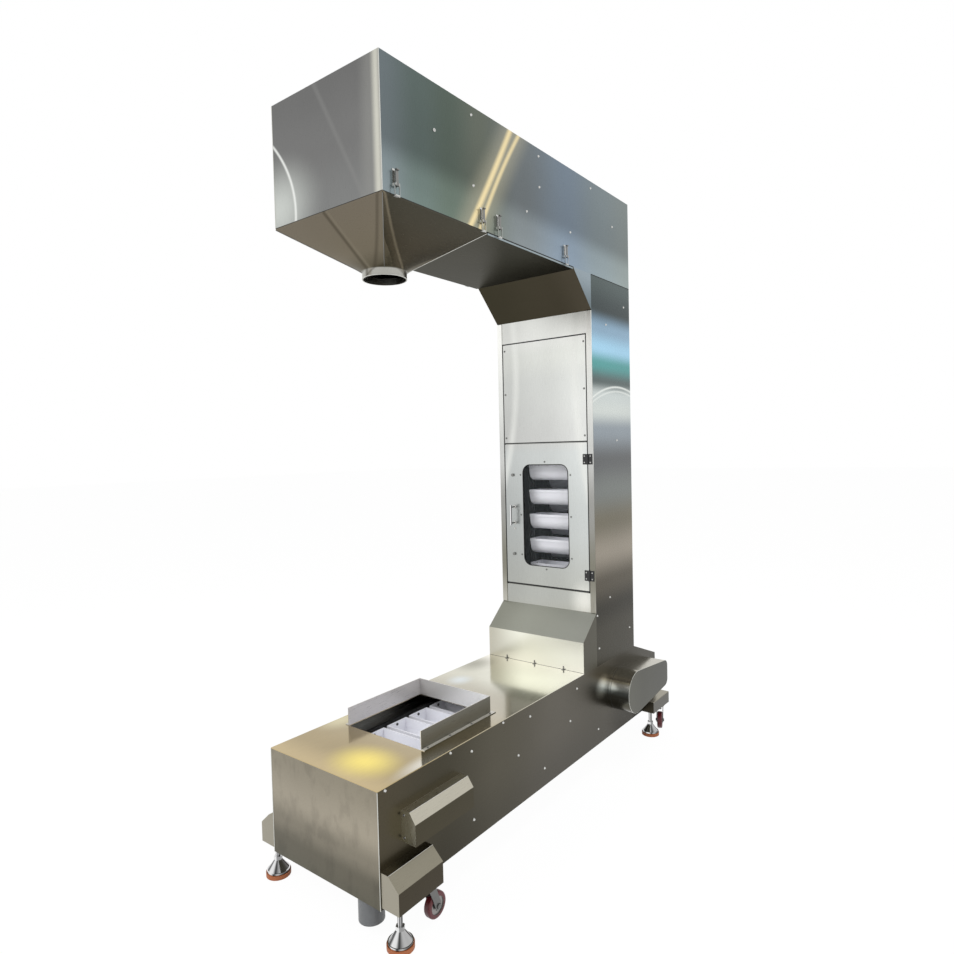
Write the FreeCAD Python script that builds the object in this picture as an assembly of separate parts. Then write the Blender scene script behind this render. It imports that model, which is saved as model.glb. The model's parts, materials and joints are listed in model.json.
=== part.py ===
import FreeCAD
import Part
import math
import os

V = FreeCAD.Vector
PARALLEL_SHARE = 0.99
X_AXIS = V(1, 0, 0)
Y_AXIS = V(0, 1, 0)
Z_AXIS = V(0, 0, 1)
SIDES = (1, -1)

# Casing. Heights are from the floor, lengths from the face of the feed end, widths from the middle plane
CASING_WIDTH = 500.0
SHEET = 3.0
FLANGE = 15.0
BASE_FLOOR = 110.0
BASE_TOP = 460.0
REAR_DROP = 96.0
COLUMN_FRONT = 1330.0
COLUMN_DEPTH = 378.0
REAR_HOUSING = 248.0
HEAD_FRONT = 90.0
HEAD_FLOOR = 2170.0
HEAD_HEIGHT = 396.0
KNEE_RUN = 150.0
KNEE_DROP = 153.0
TRANSITION_RUN = 120.0
TRANSITION_WALL = 131.5
TRANSITION_RISE = 102.0
SEAM = 3.0

# Inlet frame on the base lid
INLET_FRONT = 268.0
INLET_LENGTH = 372.0
INLET_WIDTH = 344.0
INLET_HEIGHT = 63.0
INLET_FLANGE = 14.0
INLET_SHEET = 2.5

# Hopper, spout and pan under the head
HOPPER_LENGTH = 496.0
HOPPER_DROP = 142.0
HOPPER_FLANGE = 6.0
SPOUT_RADIUS = 75.0
SPOUT_HEIGHT = 24.0
PAN_DEPTH = 9.0
PAN_GAP = 4.0

# Door, window and upper cover on the column
DOOR_WIDTH = 438.0
DOOR_FOOT = 787.0
DOOR_HEIGHT = 659.0
DOOR_SHEET = 2.5
DOOR_LAP = 18.0
COVER_DROP = 102.0
WINDOW_WIDTH = 242.0
WINDOW_HEIGHT = 470.0
WINDOW_FOOT = 880.0
WINDOW_CORNER = 38.0
PANE_LAP = 16.0
PANE_THICKNESS = 4.0
HANDLE_LENGTH = 95.0
HANDLE_HEIGHT = 1114.0
HANDLE_INSET = 47.0
HANDLE_REACH = 32.0
HANDLE_ROD = 5.0
HANDLE_POST = 4.0
CATCH_RADIUS = 7.0
CATCH_SHAFT = 4.0
CATCH_SLOT = 2.0
CATCH_INSET = 42.0
CATCH_HEIGHTS = (927.0, 1302.0)
HINGE_SIZE = 46.0
HINGE_THICKNESS = 3.5
HINGE_PIN = 3.0
HINGE_HEIGHTS = (858.5, 1372.5)

# Toggle latches
HOPPER_LATCH_PLACES = (141.0, 558.0)
PAN_LATCH_PLACES = (651.0, 1113.0)
LATCH_WIDTH = 22.0
LATCH_PLATE = 2.0
LATCH_LENGTH = 50.0
LATCH_PIVOT_RISE = 27.0
LATCH_PIVOT_REACH = 9.0
LATCH_PIN = 2.0
LATCH_LEVER_WIDTH = 12.0
LATCH_LEVER_LENGTH = 44.0
LATCH_LEVER_THICKNESS = 3.0
LATCH_LOOP_WIRE = 1.5
LATCH_LEVER_TIP = 6.0

# Bucket chain, wheels and shafts
CHAIN_RADIUS = 100.0
CHAIN_X = 150.0
CHAIN_GAP = 8.0
CHAIN_PLATE = 3.0
CHAIN_HEIGHT = 24.0
LOWER_RUN = 210.0
HEAD_RUN_RISE = 110.0
TAIL_Y = 200.0
DISCHARGE_Y = 270.0
FRONT_RUN_SETBACK = 110.0
REAR_RUN_SETBACK = 88.0
WHEEL_TEETH = 16
WHEEL_TOOTH = 8.0
TOOTH_FOOT_SHARE = 0.34
TOOTH_TIP_SHARE = 0.16
WHEEL_THICKNESS = 6.0
WHEEL_HOLES = 4
WHEEL_HUB = 28.0
WHEEL_HUB_LENGTH = 30.0
SHAFT_RADIUS = 15.0
BEARING_RADIUS = 38.0
BEARING_LENGTH = 22.0
RUNNING_CLEARANCE = 0.05
LOOSE_CLEARANCE = 0.3
RAIL_SHEET = 3.0
RAIL_LEG = 32.0
RAIL_NEAR = 75.0
RAIL_FAR = 125.0

# Buckets
BUCKET_COUNT = 84
FIRST_BUCKET = 28.0
BUCKET_WIDTH = 256.0
BUCKET_LENGTH = 96.0
BUCKET_WALL = 2.5
BUCKET_RIM_RISE = 10.0
BUCKET_RIM_DEPTH = 12.0
BUCKET_RIM_LIP = 2.0
BUCKET_WAIST = 25.0
BUCKET_WAIST_IN = 4.0
BUCKET_DEPTH = 62.0
BUCKET_PIN = 5.0
INLET_BUCKETS = (1, 2, 3)
WINDOW_BUCKETS = (15, 16, 17)

# Drive at the rear of the base
DRIVE_SPAN = 285.0
DRIVE_PITCH = 19.05
DRIVEN_TEETH = 25
MOTOR_TEETH = 13
SPROCKET_THICKNESS = 6.0
SPROCKET_STANDOFF = 42.0
DRIVE_CHAIN_GAP = 8.0
DRIVE_CHAIN_PLATE = 2.5
DRIVE_CHAIN_HEIGHT = 14.0
MOTOR_SHAFT = 12.5
GEARBOX_SIZE = 110.0
GEARBOX_DEPTH = 105.0
MOTOR_RADIUS = 62.0
MOTOR_LENGTH = 210.0
FAN_COVER_LENGTH = 18.0
GEARBOX_CORNER = 9.0
GUARD_DEPTH = 105.0
GUARD_FRONT_RADIUS = 95.0
GUARD_REAR_HEIGHT = 117.0
GUARD_REAR_REACH = 56.0
GUARD_CORNER = 26.0
GUARD_SHEET = 2.0

# Boxes on the sides of the base
TAKEUP_Y = 95.0
TAKEUP_LENGTH = 275.0
TAKEUP_REACH = 55.0
TAKEUP_FOOT = 270.0
TAKEUP_HEIGHT = 96.0
TAKEUP_BEVEL = (23.0, 31.0)
BOX_SHEET = 2.0
BOX_REACH = 72.0
BOX_FLOOR = 120.0
BOX_LENGTH = 190.0
BOX_PLATE = 6.0
FRONT_BOX_Y = 3.0
FRONT_BOX_HEIGHT = 103.0
FRONT_BOX_BEVEL = (41.0, 37.0)
REAR_BOX_HEIGHT = 54.0

# Feet and casters
FOOT_X = 288.0
FOOT_SETBACK = 36.0
FOOT_PAD_RADIUS = 41.0
FOOT_PAD_HEIGHT = 14.0
FOOT_CUP_RADIUS = 38.0
FOOT_CUP_HEIGHT = 7.0
FOOT_CONE_HEIGHT = 31.0
FOOT_NECK_RADIUS = 12.0
FOOT_HEX_RADIUS = 14.0
FOOT_HEX_HEIGHT = 12.0
FOOT_STEM = 8.0
FOOT_STEM_TOP = 158.0
FOOT_BOSS_RADIUS = 15.0
FOOT_BOSS_HEIGHT = 13.0
CASTER_SETBACK = 158.0
CASTER_TRAIL = 28.0
CASTER_WHEEL = 40.0
CASTER_WIDTH = 24.0
CASTER_LIFT = 2.0
CASTER_PLATE = 3.0
CASTER_PLATE_SIZE = 58.0
CASTER_HEAD_RADIUS = 21.0
CASTER_HEAD_HEIGHT = 12.0
CASTER_FORK = 3.0
CASTER_AXLE = 5.0
CASTER_CHEEK_GAP = 1.2
CASTER_CROWN_FRONT = 10.5
CASTER_CROWN_REAR = 17.0
CASTER_EYE = 10.0
CASTER_HUB = 27.0
CASTER_ROUNDING = 6.0
KINGPIN = 6.0
FRONT_CASTER_TURN = 0.0
REAR_CASTER_TURN = -160.0

# Drain tube under the feed end
DRAIN_X = 160.0
DRAIN_Y = 48.0
DRAIN_RADIUS = 40.0
DRAIN_WALL = 3.0
DRAIN_LENGTH = 82.0

# Screws on both side plates, in rows: place of the first along the side, its height, pitch and count.
# Base rows start from the feed end, the others from the front of the column or the head
SCREW_RADIUS = 5.0
SCREW_TIP = 3.5
SCREW_HEAD = 3.0
BASE_SCREWS_ABOVE_FLOOR = ((437.0, 69.0, 447.0, 3), (707.0, 187.0, 380.0, 2))
BASE_SCREWS_BELOW_TOP = ((433.0, 45.0, 357.0, 3), (31.0, 10.0, 292.5, 3))
COLUMN_SCREWS_ABOVE_BASE = (
    (22.0, 74.0, 0.0, 1),
    (331.0, 99.0, 0.0, 1),
    (9.0, 222.0, 0.0, 1),
    (133.0, 282.0, 0.0, 1),
    (227.0, 994.0, 0.0, 1),
)
COLUMN_SCREWS_BELOW_HEAD = ((135.0, 199.0, 0.0, 1), (317.0, 95.0, 0.0, 1))
HEAD_SCREWS_ABOVE_FLOOR = ((426.0, 136.0, 322.0, 3), (839.0, 251.0, 612.0, 2), (422.0, 366.0, 414.5, 3))

# Worked out from the sizes above
HALF = CASING_WIDTH / 2
INNER = HALF - SHEET
COLUMN_REAR = COLUMN_FRONT + COLUMN_DEPTH
BASE_LENGTH = COLUMN_REAR + REAR_HOUSING
HEAD_TOP = HEAD_FLOOR + HEAD_HEIGHT
HEAD_RUN = HEAD_FLOOR + HEAD_RUN_RISE
BASE_SEAT = BASE_TOP - SHEET
TRANSITION_FRONT = COLUMN_FRONT - TRANSITION_RUN
TRANSITION_TOP = BASE_TOP + TRANSITION_WALL + TRANSITION_RISE
KNEE_FRONT = COLUMN_FRONT - KNEE_RUN
KNEE_FLOOR = HEAD_FLOOR - KNEE_DROP
LOWER_PASSAGE_TOP = BASE_TOP + TRANSITION_WALL + TRANSITION_RISE / 2
UPPER_PASSAGE_FOOT = KNEE_FLOOR + KNEE_DROP / 3
HOPPER_REAR = HEAD_FRONT + HOPPER_LENGTH
SPOUT_Y = HEAD_FRONT + HOPPER_LENGTH / 2
SPOUT_TOP = HEAD_FLOOR - HOPPER_DROP
FRONT_RUN = COLUMN_FRONT + FRONT_RUN_SETBACK
REAR_RUN = COLUMN_REAR - REAR_RUN_SETBACK
UPPER_RUN = LOWER_RUN + 2 * CHAIN_RADIUS
TOP_RUN = HEAD_RUN + 2 * CHAIN_RADIUS
INNER_KNEE_Y = FRONT_RUN - CHAIN_RADIUS
OUTER_KNEE_Y = REAR_RUN - CHAIN_RADIUS
DRIVE_Z = LOWER_RUN + CHAIN_RADIUS
MOTOR_Y = OUTER_KNEE_Y + DRIVE_SPAN
COVER_FOOT = DOOR_FOOT + DOOR_HEIGHT
COVER_TOP = KNEE_FLOOR - COVER_DROP
REAR_BOX_Y = BASE_LENGTH - BOX_LENGTH
SPROCKET_X = HALF + SPROCKET_STANDOFF
CHAIN_INNER = CHAIN_X - CHAIN_GAP / 2 - CHAIN_PLATE
CHAIN_OUTER = CHAIN_X + CHAIN_GAP / 2 + CHAIN_PLATE
HINGE_X = DOOR_WIDTH / 2 + SEAM
HINGE_BARREL = HINGE_PIN + HINGE_THICKNESS / 2
HINGE_Y = COLUMN_FRONT - DOOR_SHEET - HINGE_BARREL - LOOSE_CLEARANCE

# The whole part's origin is the middle of its footprint on the floor
SIDE_REACH = FOOT_X + FOOT_PAD_RADIUS
GUARD_FACE = HALF + GUARD_DEPTH
FOOT_FRONT = FRONT_BOX_Y + FOOT_SETBACK - FOOT_PAD_RADIUS
FRONT_END = min(FOOT_FRONT, 0.0)
ORIGIN = V((GUARD_FACE - SIDE_REACH) / 2, (FRONT_END + BASE_LENGTH) / 2, 0)


def box(x0, x1, y0, y1, z0, z1):
    return Part.makeBox(x1 - x0, y1 - y0, z1 - z0, V(x0, y0, z0))


def rod(start, axis, radius, length):
    return Part.makeCylinder(radius, length, start, axis)


def across(x0, x1, y, z, radius):
    return rod(V(min(x0, x1), y, z), X_AXIS, radius, abs(x1 - x0))


def ring(start, axis, outer, inner, length):
    return rod(start, axis, outer, length).cut(rod(start, axis, inner, length))


def face_yz(points, x=0.0):
    corners = [V(x, y, z) for y, z in points]
    return Part.Face(Part.makePolygon(corners + corners[:1]))


def prism(points, x0, x1):
    return face_yz(points, x0).extrude(V(x1 - x0, 0, 0))


def hollow_prism(points, sheet=SHEET):
    """A closed sheet box of the given side outline, as wide as the casing."""
    inside = face_yz(points, sheet - HALF).makeOffset2D(-sheet, 2)
    return prism(points, -HALF, HALF).cut(inside.extrude(V(CASING_WIDTH - 2 * sheet, 0, 0)))


def edges_along(shape, axis):
    def runs_along(edge):
        return abs(edge.tangentAt(edge.FirstParameter).dot(axis)) > PARALLEL_SHARE
    return [edge for edge in shape.Edges if runs_along(edge)]


def sheet_hole(sign, y, z, radius):
    """A round hole's cutter through one side plate of the casing."""
    return across(sign * (HALF - 2 * SHEET), sign * (HALF + SHEET), y, z, radius)


def mirrored(shape):
    return shape.mirror(V(0, 0, 0), X_AXIS)


def both_sides(shape):
    return [shape, mirrored(shape)]


def base_casing():
    """Trough with side, end and floor plates, open under the lid and under the column."""
    outline = [
        (0, BASE_FLOOR),
        (0, BASE_SEAT),
        (COLUMN_REAR, BASE_SEAT),
        (BASE_LENGTH, BASE_TOP - REAR_DROP),
        (BASE_LENGTH, BASE_FLOOR),
    ]
    shell = hollow_prism(outline)
    edge = HALF - FLANGE
    mouth = box(-edge, edge, FLANGE, COLUMN_REAR - FLANGE, BASE_SEAT - 2 * SHEET, BASE_TOP)
    drain = rod(V(DRAIN_X, DRAIN_Y, BASE_FLOOR - SHEET), Z_AXIS, DRAIN_RADIUS - DRAIN_WALL, 3 * SHEET)
    shell = shell.cut(mouth).cut(drain)
    for sign in SIDES:
        shell = shell.cut(sheet_hole(sign, TAIL_Y, DRIVE_Z, BEARING_RADIUS - SHEET))
        shell = shell.cut(sheet_hole(sign, OUTER_KNEE_Y, DRIVE_Z, SHAFT_RADIUS + SHEET))
    return [shell.cut(sheet_hole(1, MOTOR_Y, DRIVE_Z, MOTOR_SHAFT + SHEET))]


def base_lid():
    """Flat top plate over the feed end with the inlet cut out of it."""
    plate = box(-HALF, HALF, 0, TRANSITION_FRONT, BASE_SEAT, BASE_TOP)
    half = INLET_WIDTH / 2
    rear = INLET_FRONT + INLET_LENGTH
    return [plate.cut(box(-half, half, INLET_FRONT, rear, BASE_SEAT - SHEET, BASE_TOP + SHEET))]


def inlet_frame():
    """Three walls round the inlet, left open towards the feed end, on a screwed foot flange."""
    inside = INLET_WIDTH / 2
    outside = inside + INLET_SHEET
    foot = outside + INLET_FLANGE
    rear = INLET_FRONT + INLET_LENGTH
    top = BASE_TOP + INLET_HEIGHT
    walls = box(-outside, outside, INLET_FRONT, rear + INLET_SHEET, BASE_TOP, top)
    flange_rear = rear + INLET_SHEET + INLET_FLANGE
    flange = box(-foot, foot, INLET_FRONT, flange_rear, BASE_TOP, BASE_TOP + INLET_SHEET)
    room = box(-inside, inside, INLET_FRONT - SHEET, rear, BASE_TOP - SHEET, top + SHEET)
    return [walls.fuse(flange).cut(room).removeSplitter()]


def transition_casing():
    """Hood over the inner lower bend of the chain, between the base and the column."""
    outline = [
        (TRANSITION_FRONT, BASE_SEAT),
        (TRANSITION_FRONT, BASE_TOP + TRANSITION_WALL),
        (COLUMN_FRONT, TRANSITION_TOP),
        (COLUMN_FRONT, BASE_SEAT),
    ]
    shell = hollow_prism(outline)
    edge = HALF - FLANGE
    rear = COLUMN_FRONT + SHEET
    below = box(-edge, edge, TRANSITION_FRONT + FLANGE, rear, BASE_SEAT - SHEET, BASE_TOP + SHEET)
    behind = box(-INNER, INNER, COLUMN_FRONT - 2 * SHEET, rear, BASE_TOP, LOWER_PASSAGE_TOP)
    return [shell.cut(below).cut(behind)]


def column_casing():
    """Upright box with a doorway, a cover opening and openings towards the two bends."""
    outer = box(-HALF, HALF, COLUMN_FRONT, COLUMN_REAR, BASE_SEAT, HEAD_FLOOR)
    front = COLUMN_FRONT + SHEET
    inner = box(-INNER, INNER, front, COLUMN_REAR - SHEET, BASE_SEAT - SHEET, HEAD_FLOOR + SHEET)
    shell = outer.cut(inner)
    door_edge = DOOR_WIDTH / 2 - DOOR_LAP
    openings = (
        (INNER, BASE_SEAT - SHEET, LOWER_PASSAGE_TOP),
        (door_edge, DOOR_FOOT + DOOR_LAP, DOOR_FOOT + DOOR_HEIGHT - DOOR_LAP),
        (door_edge, COVER_FOOT + DOOR_LAP, COVER_TOP - DOOR_LAP),
        (INNER, UPPER_PASSAGE_FOOT, HEAD_FLOOR + SHEET),
    )
    for edge, low, high in openings:
        shell = shell.cut(box(-edge, edge, COLUMN_FRONT - SHEET, COLUMN_FRONT + 2 * SHEET, low, high))
    return [shell]


def knee_casing():
    """Sloped hood over the inner upper bend of the chain, between the column and the head."""
    outline = [(KNEE_FRONT, HEAD_FLOOR), (COLUMN_FRONT, KNEE_FLOOR), (COLUMN_FRONT, HEAD_FLOOR)]
    shell = hollow_prism(outline)
    rear = COLUMN_FRONT + SHEET
    top = HEAD_FLOOR + SHEET
    above = box(-INNER, INNER, KNEE_FRONT + FLANGE, rear, HEAD_FLOOR - 2 * SHEET, top)
    behind = box(-INNER, INNER, COLUMN_FRONT - 2 * SHEET, rear, UPPER_PASSAGE_FOOT, top)
    return [shell.cut(above).cut(behind)]


def head_casing():
    """Long box over the column, open below at the hopper, the pan and the column."""
    outline = [
        (HEAD_FRONT, HEAD_FLOOR),
        (HEAD_FRONT, HEAD_TOP),
        (COLUMN_REAR, HEAD_TOP),
        (COLUMN_REAR, HEAD_FLOOR),
    ]
    shell = hollow_prism(outline)
    edge = HALF - FLANGE
    openings = (
        (edge, HEAD_FRONT + FLANGE, HOPPER_REAR - FLANGE),
        (edge, HOPPER_REAR + PAN_GAP + FLANGE, KNEE_FRONT - FLANGE),
        (INNER, KNEE_FRONT + SHEET, COLUMN_REAR - SHEET),
    )
    for half_width, start, end in openings:
        hole = box(-half_width, half_width, start, end, HEAD_FLOOR - SHEET, HEAD_FLOOR + 2 * SHEET)
        shell = shell.cut(hole)
    return [shell]


def square_ring(half_x, y0, y1, z):
    corners = [V(half_x, y1, z), V(-half_x, y1, z), V(-half_x, y0, z), V(half_x, y0, z)]
    return Part.makePolygon(corners + corners[:1])


def quarter_circle_ring(radius, y, z):
    """A circle as four arcs, whose ends face the corners of the square ring."""
    def at(angle):
        turn = math.radians(angle)
        return V(radius * math.cos(turn), y + radius * math.sin(turn), z)
    eighth = 45
    arcs = []
    for corner in range(4):
        start = eighth + 2 * eighth * corner
        arcs.append(Part.Arc(at(start), at(start + eighth), at(start + 2 * eighth)).toShape())
    return Part.Wire(arcs)


def hopper_body(shrink):
    top = HEAD_FLOOR - HOPPER_FLANGE
    wide = square_ring(HALF - shrink, HEAD_FRONT + shrink, HOPPER_REAR - shrink, top)
    narrow = quarter_circle_ring(SPOUT_RADIUS - shrink, SPOUT_Y, SPOUT_TOP)
    return Part.makeLoft([wide, narrow], True, True)


def discharge_hopper():
    """Square to round hopper with its foot flange and spout collar."""
    flange = box(-HALF, HALF, HEAD_FRONT, HOPPER_REAR, HEAD_FLOOR - HOPPER_FLANGE, HEAD_FLOOR)
    edge = HALF - FLANGE
    flange = flange.cut(box(-edge, edge, HEAD_FRONT + FLANGE, HOPPER_REAR - FLANGE, BASE_FLOOR, HEAD_TOP))
    body = hopper_body(0.0).cut(hopper_body(SHEET))
    foot = V(0, SPOUT_Y, SPOUT_TOP - SPOUT_HEIGHT)
    collar = ring(foot, Z_AXIS, SPOUT_RADIUS, SPOUT_RADIUS - SHEET, SPOUT_HEIGHT)
    return [flange.fuse([body, collar]).removeSplitter()]


def head_pan():
    """Shallow tray that closes the head's floor between the hopper and the knee."""
    front = HOPPER_REAR + PAN_GAP
    rear = KNEE_FRONT - PAN_GAP
    tray = box(-HALF, HALF, front, rear, HEAD_FLOOR - PAN_DEPTH, HEAD_FLOOR)
    floor = HEAD_FLOOR - PAN_DEPTH + SHEET
    room = box(-INNER, INNER, front + SHEET, rear - SHEET, floor, HEAD_FLOOR + SHEET)
    return [tray.cut(room)]


def rounded_plate(half_width, foot, top, corner, y0, y1):
    """An upright plate with round corners, facing the feed end."""
    plate = box(-half_width, half_width, y0, y1, foot, top)
    return plate.makeFillet(corner, edges_along(plate, Y_AXIS))


def column_cover():
    """Flat screwed cover above the door."""
    half = DOOR_WIDTH / 2
    face = COLUMN_FRONT - DOOR_SHEET
    return [box(-half, half, face, COLUMN_FRONT, COVER_FOOT + SEAM, COVER_TOP)]


def window_cut(grow, y0, y1):
    half = WINDOW_WIDTH / 2 + grow
    top = WINDOW_FOOT + WINDOW_HEIGHT + grow
    return rounded_plate(half, WINDOW_FOOT - grow, top, WINDOW_CORNER + grow, y0, y1)


def catch_x():
    return CATCH_INSET - DOOR_WIDTH / 2


def access_door():
    """Flat hinged door with the window cut out and holes for its two catches."""
    half = DOOR_WIDTH / 2
    face = COLUMN_FRONT - DOOR_SHEET
    top = DOOR_FOOT + DOOR_HEIGHT
    plate = box(-half, half, face, COLUMN_FRONT - LOOSE_CLEARANCE, DOOR_FOOT + SEAM, top)
    plate = plate.cut(window_cut(0.0, face - SHEET, COLUMN_FRONT + SHEET))
    bore = CATCH_SHAFT + RUNNING_CLEARANCE
    for height in CATCH_HEIGHTS:
        plate = plate.cut(rod(V(catch_x(), face - SHEET, height), Y_AXIS, bore, 3 * SHEET))
    return [plate]


def door_window():
    """Clear pane behind the door, larger than its opening by the lap it is screwed through."""
    back = COLUMN_FRONT - LOOSE_CLEARANCE
    return [window_cut(PANE_LAP, back, back + PANE_THICKNESS)]


def door_handle():
    """Bow handle: an upright grip on two short posts."""
    x = HANDLE_INSET - DOOR_WIDTH / 2
    face = COLUMN_FRONT - DOOR_SHEET
    grip_y = face - HANDLE_REACH
    low = HANDLE_HEIGHT - HANDLE_LENGTH / 2
    grip = rod(V(x, grip_y, low), Z_AXIS, HANDLE_ROD, HANDLE_LENGTH)
    inset = 2 * HANDLE_ROD
    heights = (low + inset, low + HANDLE_LENGTH - inset)
    posts = [rod(V(x, grip_y, z), Y_AXIS, HANDLE_POST, HANDLE_REACH) for z in heights]
    return [grip.fuse(posts).removeSplitter()]


def door_catch(height):
    """Turn knob outside the door, its spindle, and the tongue behind the door, upright while unlocked."""
    x = catch_x()
    face = COLUMN_FRONT - DOOR_SHEET
    left = x - CATCH_RADIUS
    right = x + CATCH_RADIUS
    knob = rod(V(x, face - LOOSE_CLEARANCE, height), -Y_AXIS, CATCH_RADIUS, 2 * SHEET)
    slot_low = height - CATCH_SLOT / 2
    slot = box(left, right, face - 3 * SHEET, face - 2 * SHEET, slot_low, slot_low + CATCH_SLOT)
    spindle_end = COLUMN_FRONT + SHEET + LOOSE_CLEARANCE
    spindle = rod(V(x, face - SHEET, height), Y_AXIS, CATCH_SHAFT, spindle_end + SHEET - face + SHEET)
    reach = CATCH_INSET - DOOR_LAP + CATCH_RADIUS
    low = height - CATCH_RADIUS
    tongue = box(left, right, spindle_end, spindle_end + SHEET, low, height + reach)
    return [knob.cut(slot).fuse([spindle, tongue]).removeSplitter()]


def hinge_knuckle(z0, z1):
    bore = HINGE_PIN + RUNNING_CLEARANCE
    return ring(V(HINGE_X, HINGE_Y, z0), Z_AXIS, HINGE_BARREL, bore, z1 - z0)


def hinge_leaf(height, side, knuckles):
    """One leaf of a butt hinge with its knuckles. side is 1 for the column's leaf and -1 for the door's."""
    low = height - HINGE_SIZE / 2
    near = HINGE_X + side * HINGE_PIN
    far = HINGE_X + side * HINGE_SIZE / 2
    back = COLUMN_FRONT - DOOR_SHEET
    plate = box(min(near, far), max(near, far), back - HINGE_THICKNESS, back, low, low + HINGE_SIZE)
    if side == 1:
        plate = plate.fuse(box(HINGE_X + HINGE_THICKNESS, far, back, COLUMN_FRONT, low, low + HINGE_SIZE))
    third = HINGE_SIZE / 3
    leaf = plate
    for index in range(3):
        z0 = low + index * third
        if index in knuckles:
            leaf = leaf.fuse(hinge_knuckle(z0 + LOOSE_CLEARANCE / 2, z0 + third - LOOSE_CLEARANCE / 2))
        else:
            leaf = leaf.cut(rod(V(HINGE_X, HINGE_Y, z0), Z_AXIS, HINGE_BARREL + LOOSE_CLEARANCE, third))
    leaf = leaf.cut(rod(V(HINGE_X, HINGE_Y, low), Z_AXIS, HINGE_PIN + RUNNING_CLEARANCE, HINGE_SIZE))
    return leaf.removeSplitter()


def hinge_leaves_column():
    """The fixed leaves on the column's front edge, with their pins."""
    solids = []
    for height in HINGE_HEIGHTS:
        solids.append(hinge_leaf(height, 1, (0, 2)))
        solids.append(rod(V(HINGE_X, HINGE_Y, height - HINGE_SIZE / 2), Z_AXIS, HINGE_PIN, HINGE_SIZE))
    return solids


def hinge_leaves_door():
    return [hinge_leaf(height, -1, (1,)) for height in HINGE_HEIGHTS]


def latch_pivot_z():
    return HEAD_FLOOR + LATCH_PIVOT_RISE


def latch_base(y):
    """Plate on the head's right side with two ears, the pin between them, the loop and its keeper."""
    pivot = latch_pivot_z()
    half = LATCH_WIDTH / 2
    low = pivot - 2 * LATCH_PIN
    x = HALF + LATCH_PIVOT_REACH
    ear_start = LATCH_LEVER_WIDTH / 2 + LOOSE_CLEARANCE
    ear_end = ear_start + LATCH_PLATE
    strap = LATCH_LOOP_WIRE
    keeper_top = HEAD_FLOOR - SHEET
    loop_foot = keeper_top - 3 * strap
    parts = [box(HALF, HALF + LATCH_PLATE, y - half, y + half, low, low + LATCH_LENGTH)]
    for sign in SIDES:
        ear = sorted((y + sign * ear_start, y + sign * ear_end))
        side = sorted((y + sign * (half - strap), y + sign * half))
        parts.append(box(HALF, x + 2 * LATCH_PIN, *ear, pivot - 2 * LATCH_PIN, pivot + 2 * LATCH_PIN))
        parts.append(box(x - strap, x + strap, *side, loop_foot, pivot + strap))
    parts.append(rod(V(x, y - half, pivot), Y_AXIS, LATCH_PIN, LATCH_WIDTH))
    parts.append(box(x - strap, x + strap, y - half, y + half, loop_foot, loop_foot + strap))
    body = parts[0].fuse(parts[1:]).removeSplitter()
    tab = half - 2 * strap
    keeper = box(HALF, x + 2 * strap, y - tab, y + tab, loop_foot + strap, keeper_top)
    return [body, keeper]


def latch_bases():
    solids = []
    for y in HOPPER_LATCH_PLACES + PAN_LATCH_PLACES:
        for solid in latch_base(y):
            solids += both_sides(solid)
    return solids


def latch_lever(y):
    """Lever closed against the base plate, its free end up, with a turned-out finger tip."""
    pivot = latch_pivot_z()
    half = LATCH_LEVER_WIDTH / 2
    x = HALF + LATCH_PIVOT_REACH
    thin = LATCH_LEVER_THICKNESS
    hub = rod(V(x, y - half, pivot), Y_AXIS, 2 * LATCH_PIN, LATCH_LEVER_WIDTH)
    end = pivot + LATCH_LEVER_LENGTH
    arm = box(x - thin / 2, x + thin / 2, y - half, y + half, pivot, end)
    tip = box(x - thin / 2, x + LATCH_LEVER_TIP, y - half, y + half, end - thin, end)
    bore = rod(V(x, y - half, pivot), Y_AXIS, LATCH_PIN + RUNNING_CLEARANCE, LATCH_LEVER_WIDTH)
    return hub.fuse([arm, tip]).cut(bore).removeSplitter()


def latch_levers(places, sign):
    levers = [latch_lever(y) for y in places]
    return levers if sign == 1 else [mirrored(lever) for lever in levers]


def chain_bends():
    """The bends of the chain's closed path seen from the side, each as centre, start and end angle."""
    low_inner = V(0, INNER_KNEE_Y, UPPER_RUN + CHAIN_RADIUS)
    high_inner = V(0, INNER_KNEE_Y, HEAD_RUN - CHAIN_RADIUS)
    discharge = V(0, DISCHARGE_Y, HEAD_RUN + CHAIN_RADIUS)
    top = V(0, OUTER_KNEE_Y, TOP_RUN - CHAIN_RADIUS)
    drive = V(0, OUTER_KNEE_Y, DRIVE_Z)
    tail = V(0, TAIL_Y, DRIVE_Z)
    return [
        (tail, -90, -270),
        (low_inner, -90, 0),
        (high_inner, 0, 90),
        (discharge, 270, 90),
        (top, 90, 0),
        (drive, 0, -90),
    ]


def on_bend(centre, angle, radius):
    turn = math.radians(angle)
    return V(0, centre.y + radius * math.cos(turn), centre.z + radius * math.sin(turn))


def chain_pieces(offset):
    """Start, middle and end of each bend and leg in turn. A leg has no middle. offset widens the loop."""
    bends = chain_bends()
    pieces = []
    for index, (centre, start, end) in enumerate(bends):
        outward = offset if end < start else -offset
        radius = CHAIN_RADIUS + outward
        points = [on_bend(centre, a, radius) for a in (start, (start + end) / 2, end)]
        following = bends[(index + 1) % len(bends)]
        next_outward = offset if following[2] < following[1] else -offset
        next_start = on_bend(following[0], following[1], CHAIN_RADIUS + next_outward)
        pieces.append((points[0], points[1], points[2]))
        pieces.append((points[2], None, next_start))
    return pieces


def chain_edges(offset=0.0):
    edges = []
    for start, middle, end in chain_pieces(offset):
        if middle is None:
            edges.append(Part.LineSegment(start, end).toShape())
        else:
            edges.append(Part.Arc(start, middle, end).toShape())
    return edges


def chain_face(offset):
    return Part.Face(Part.Wire(chain_edges(offset)))


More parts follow.
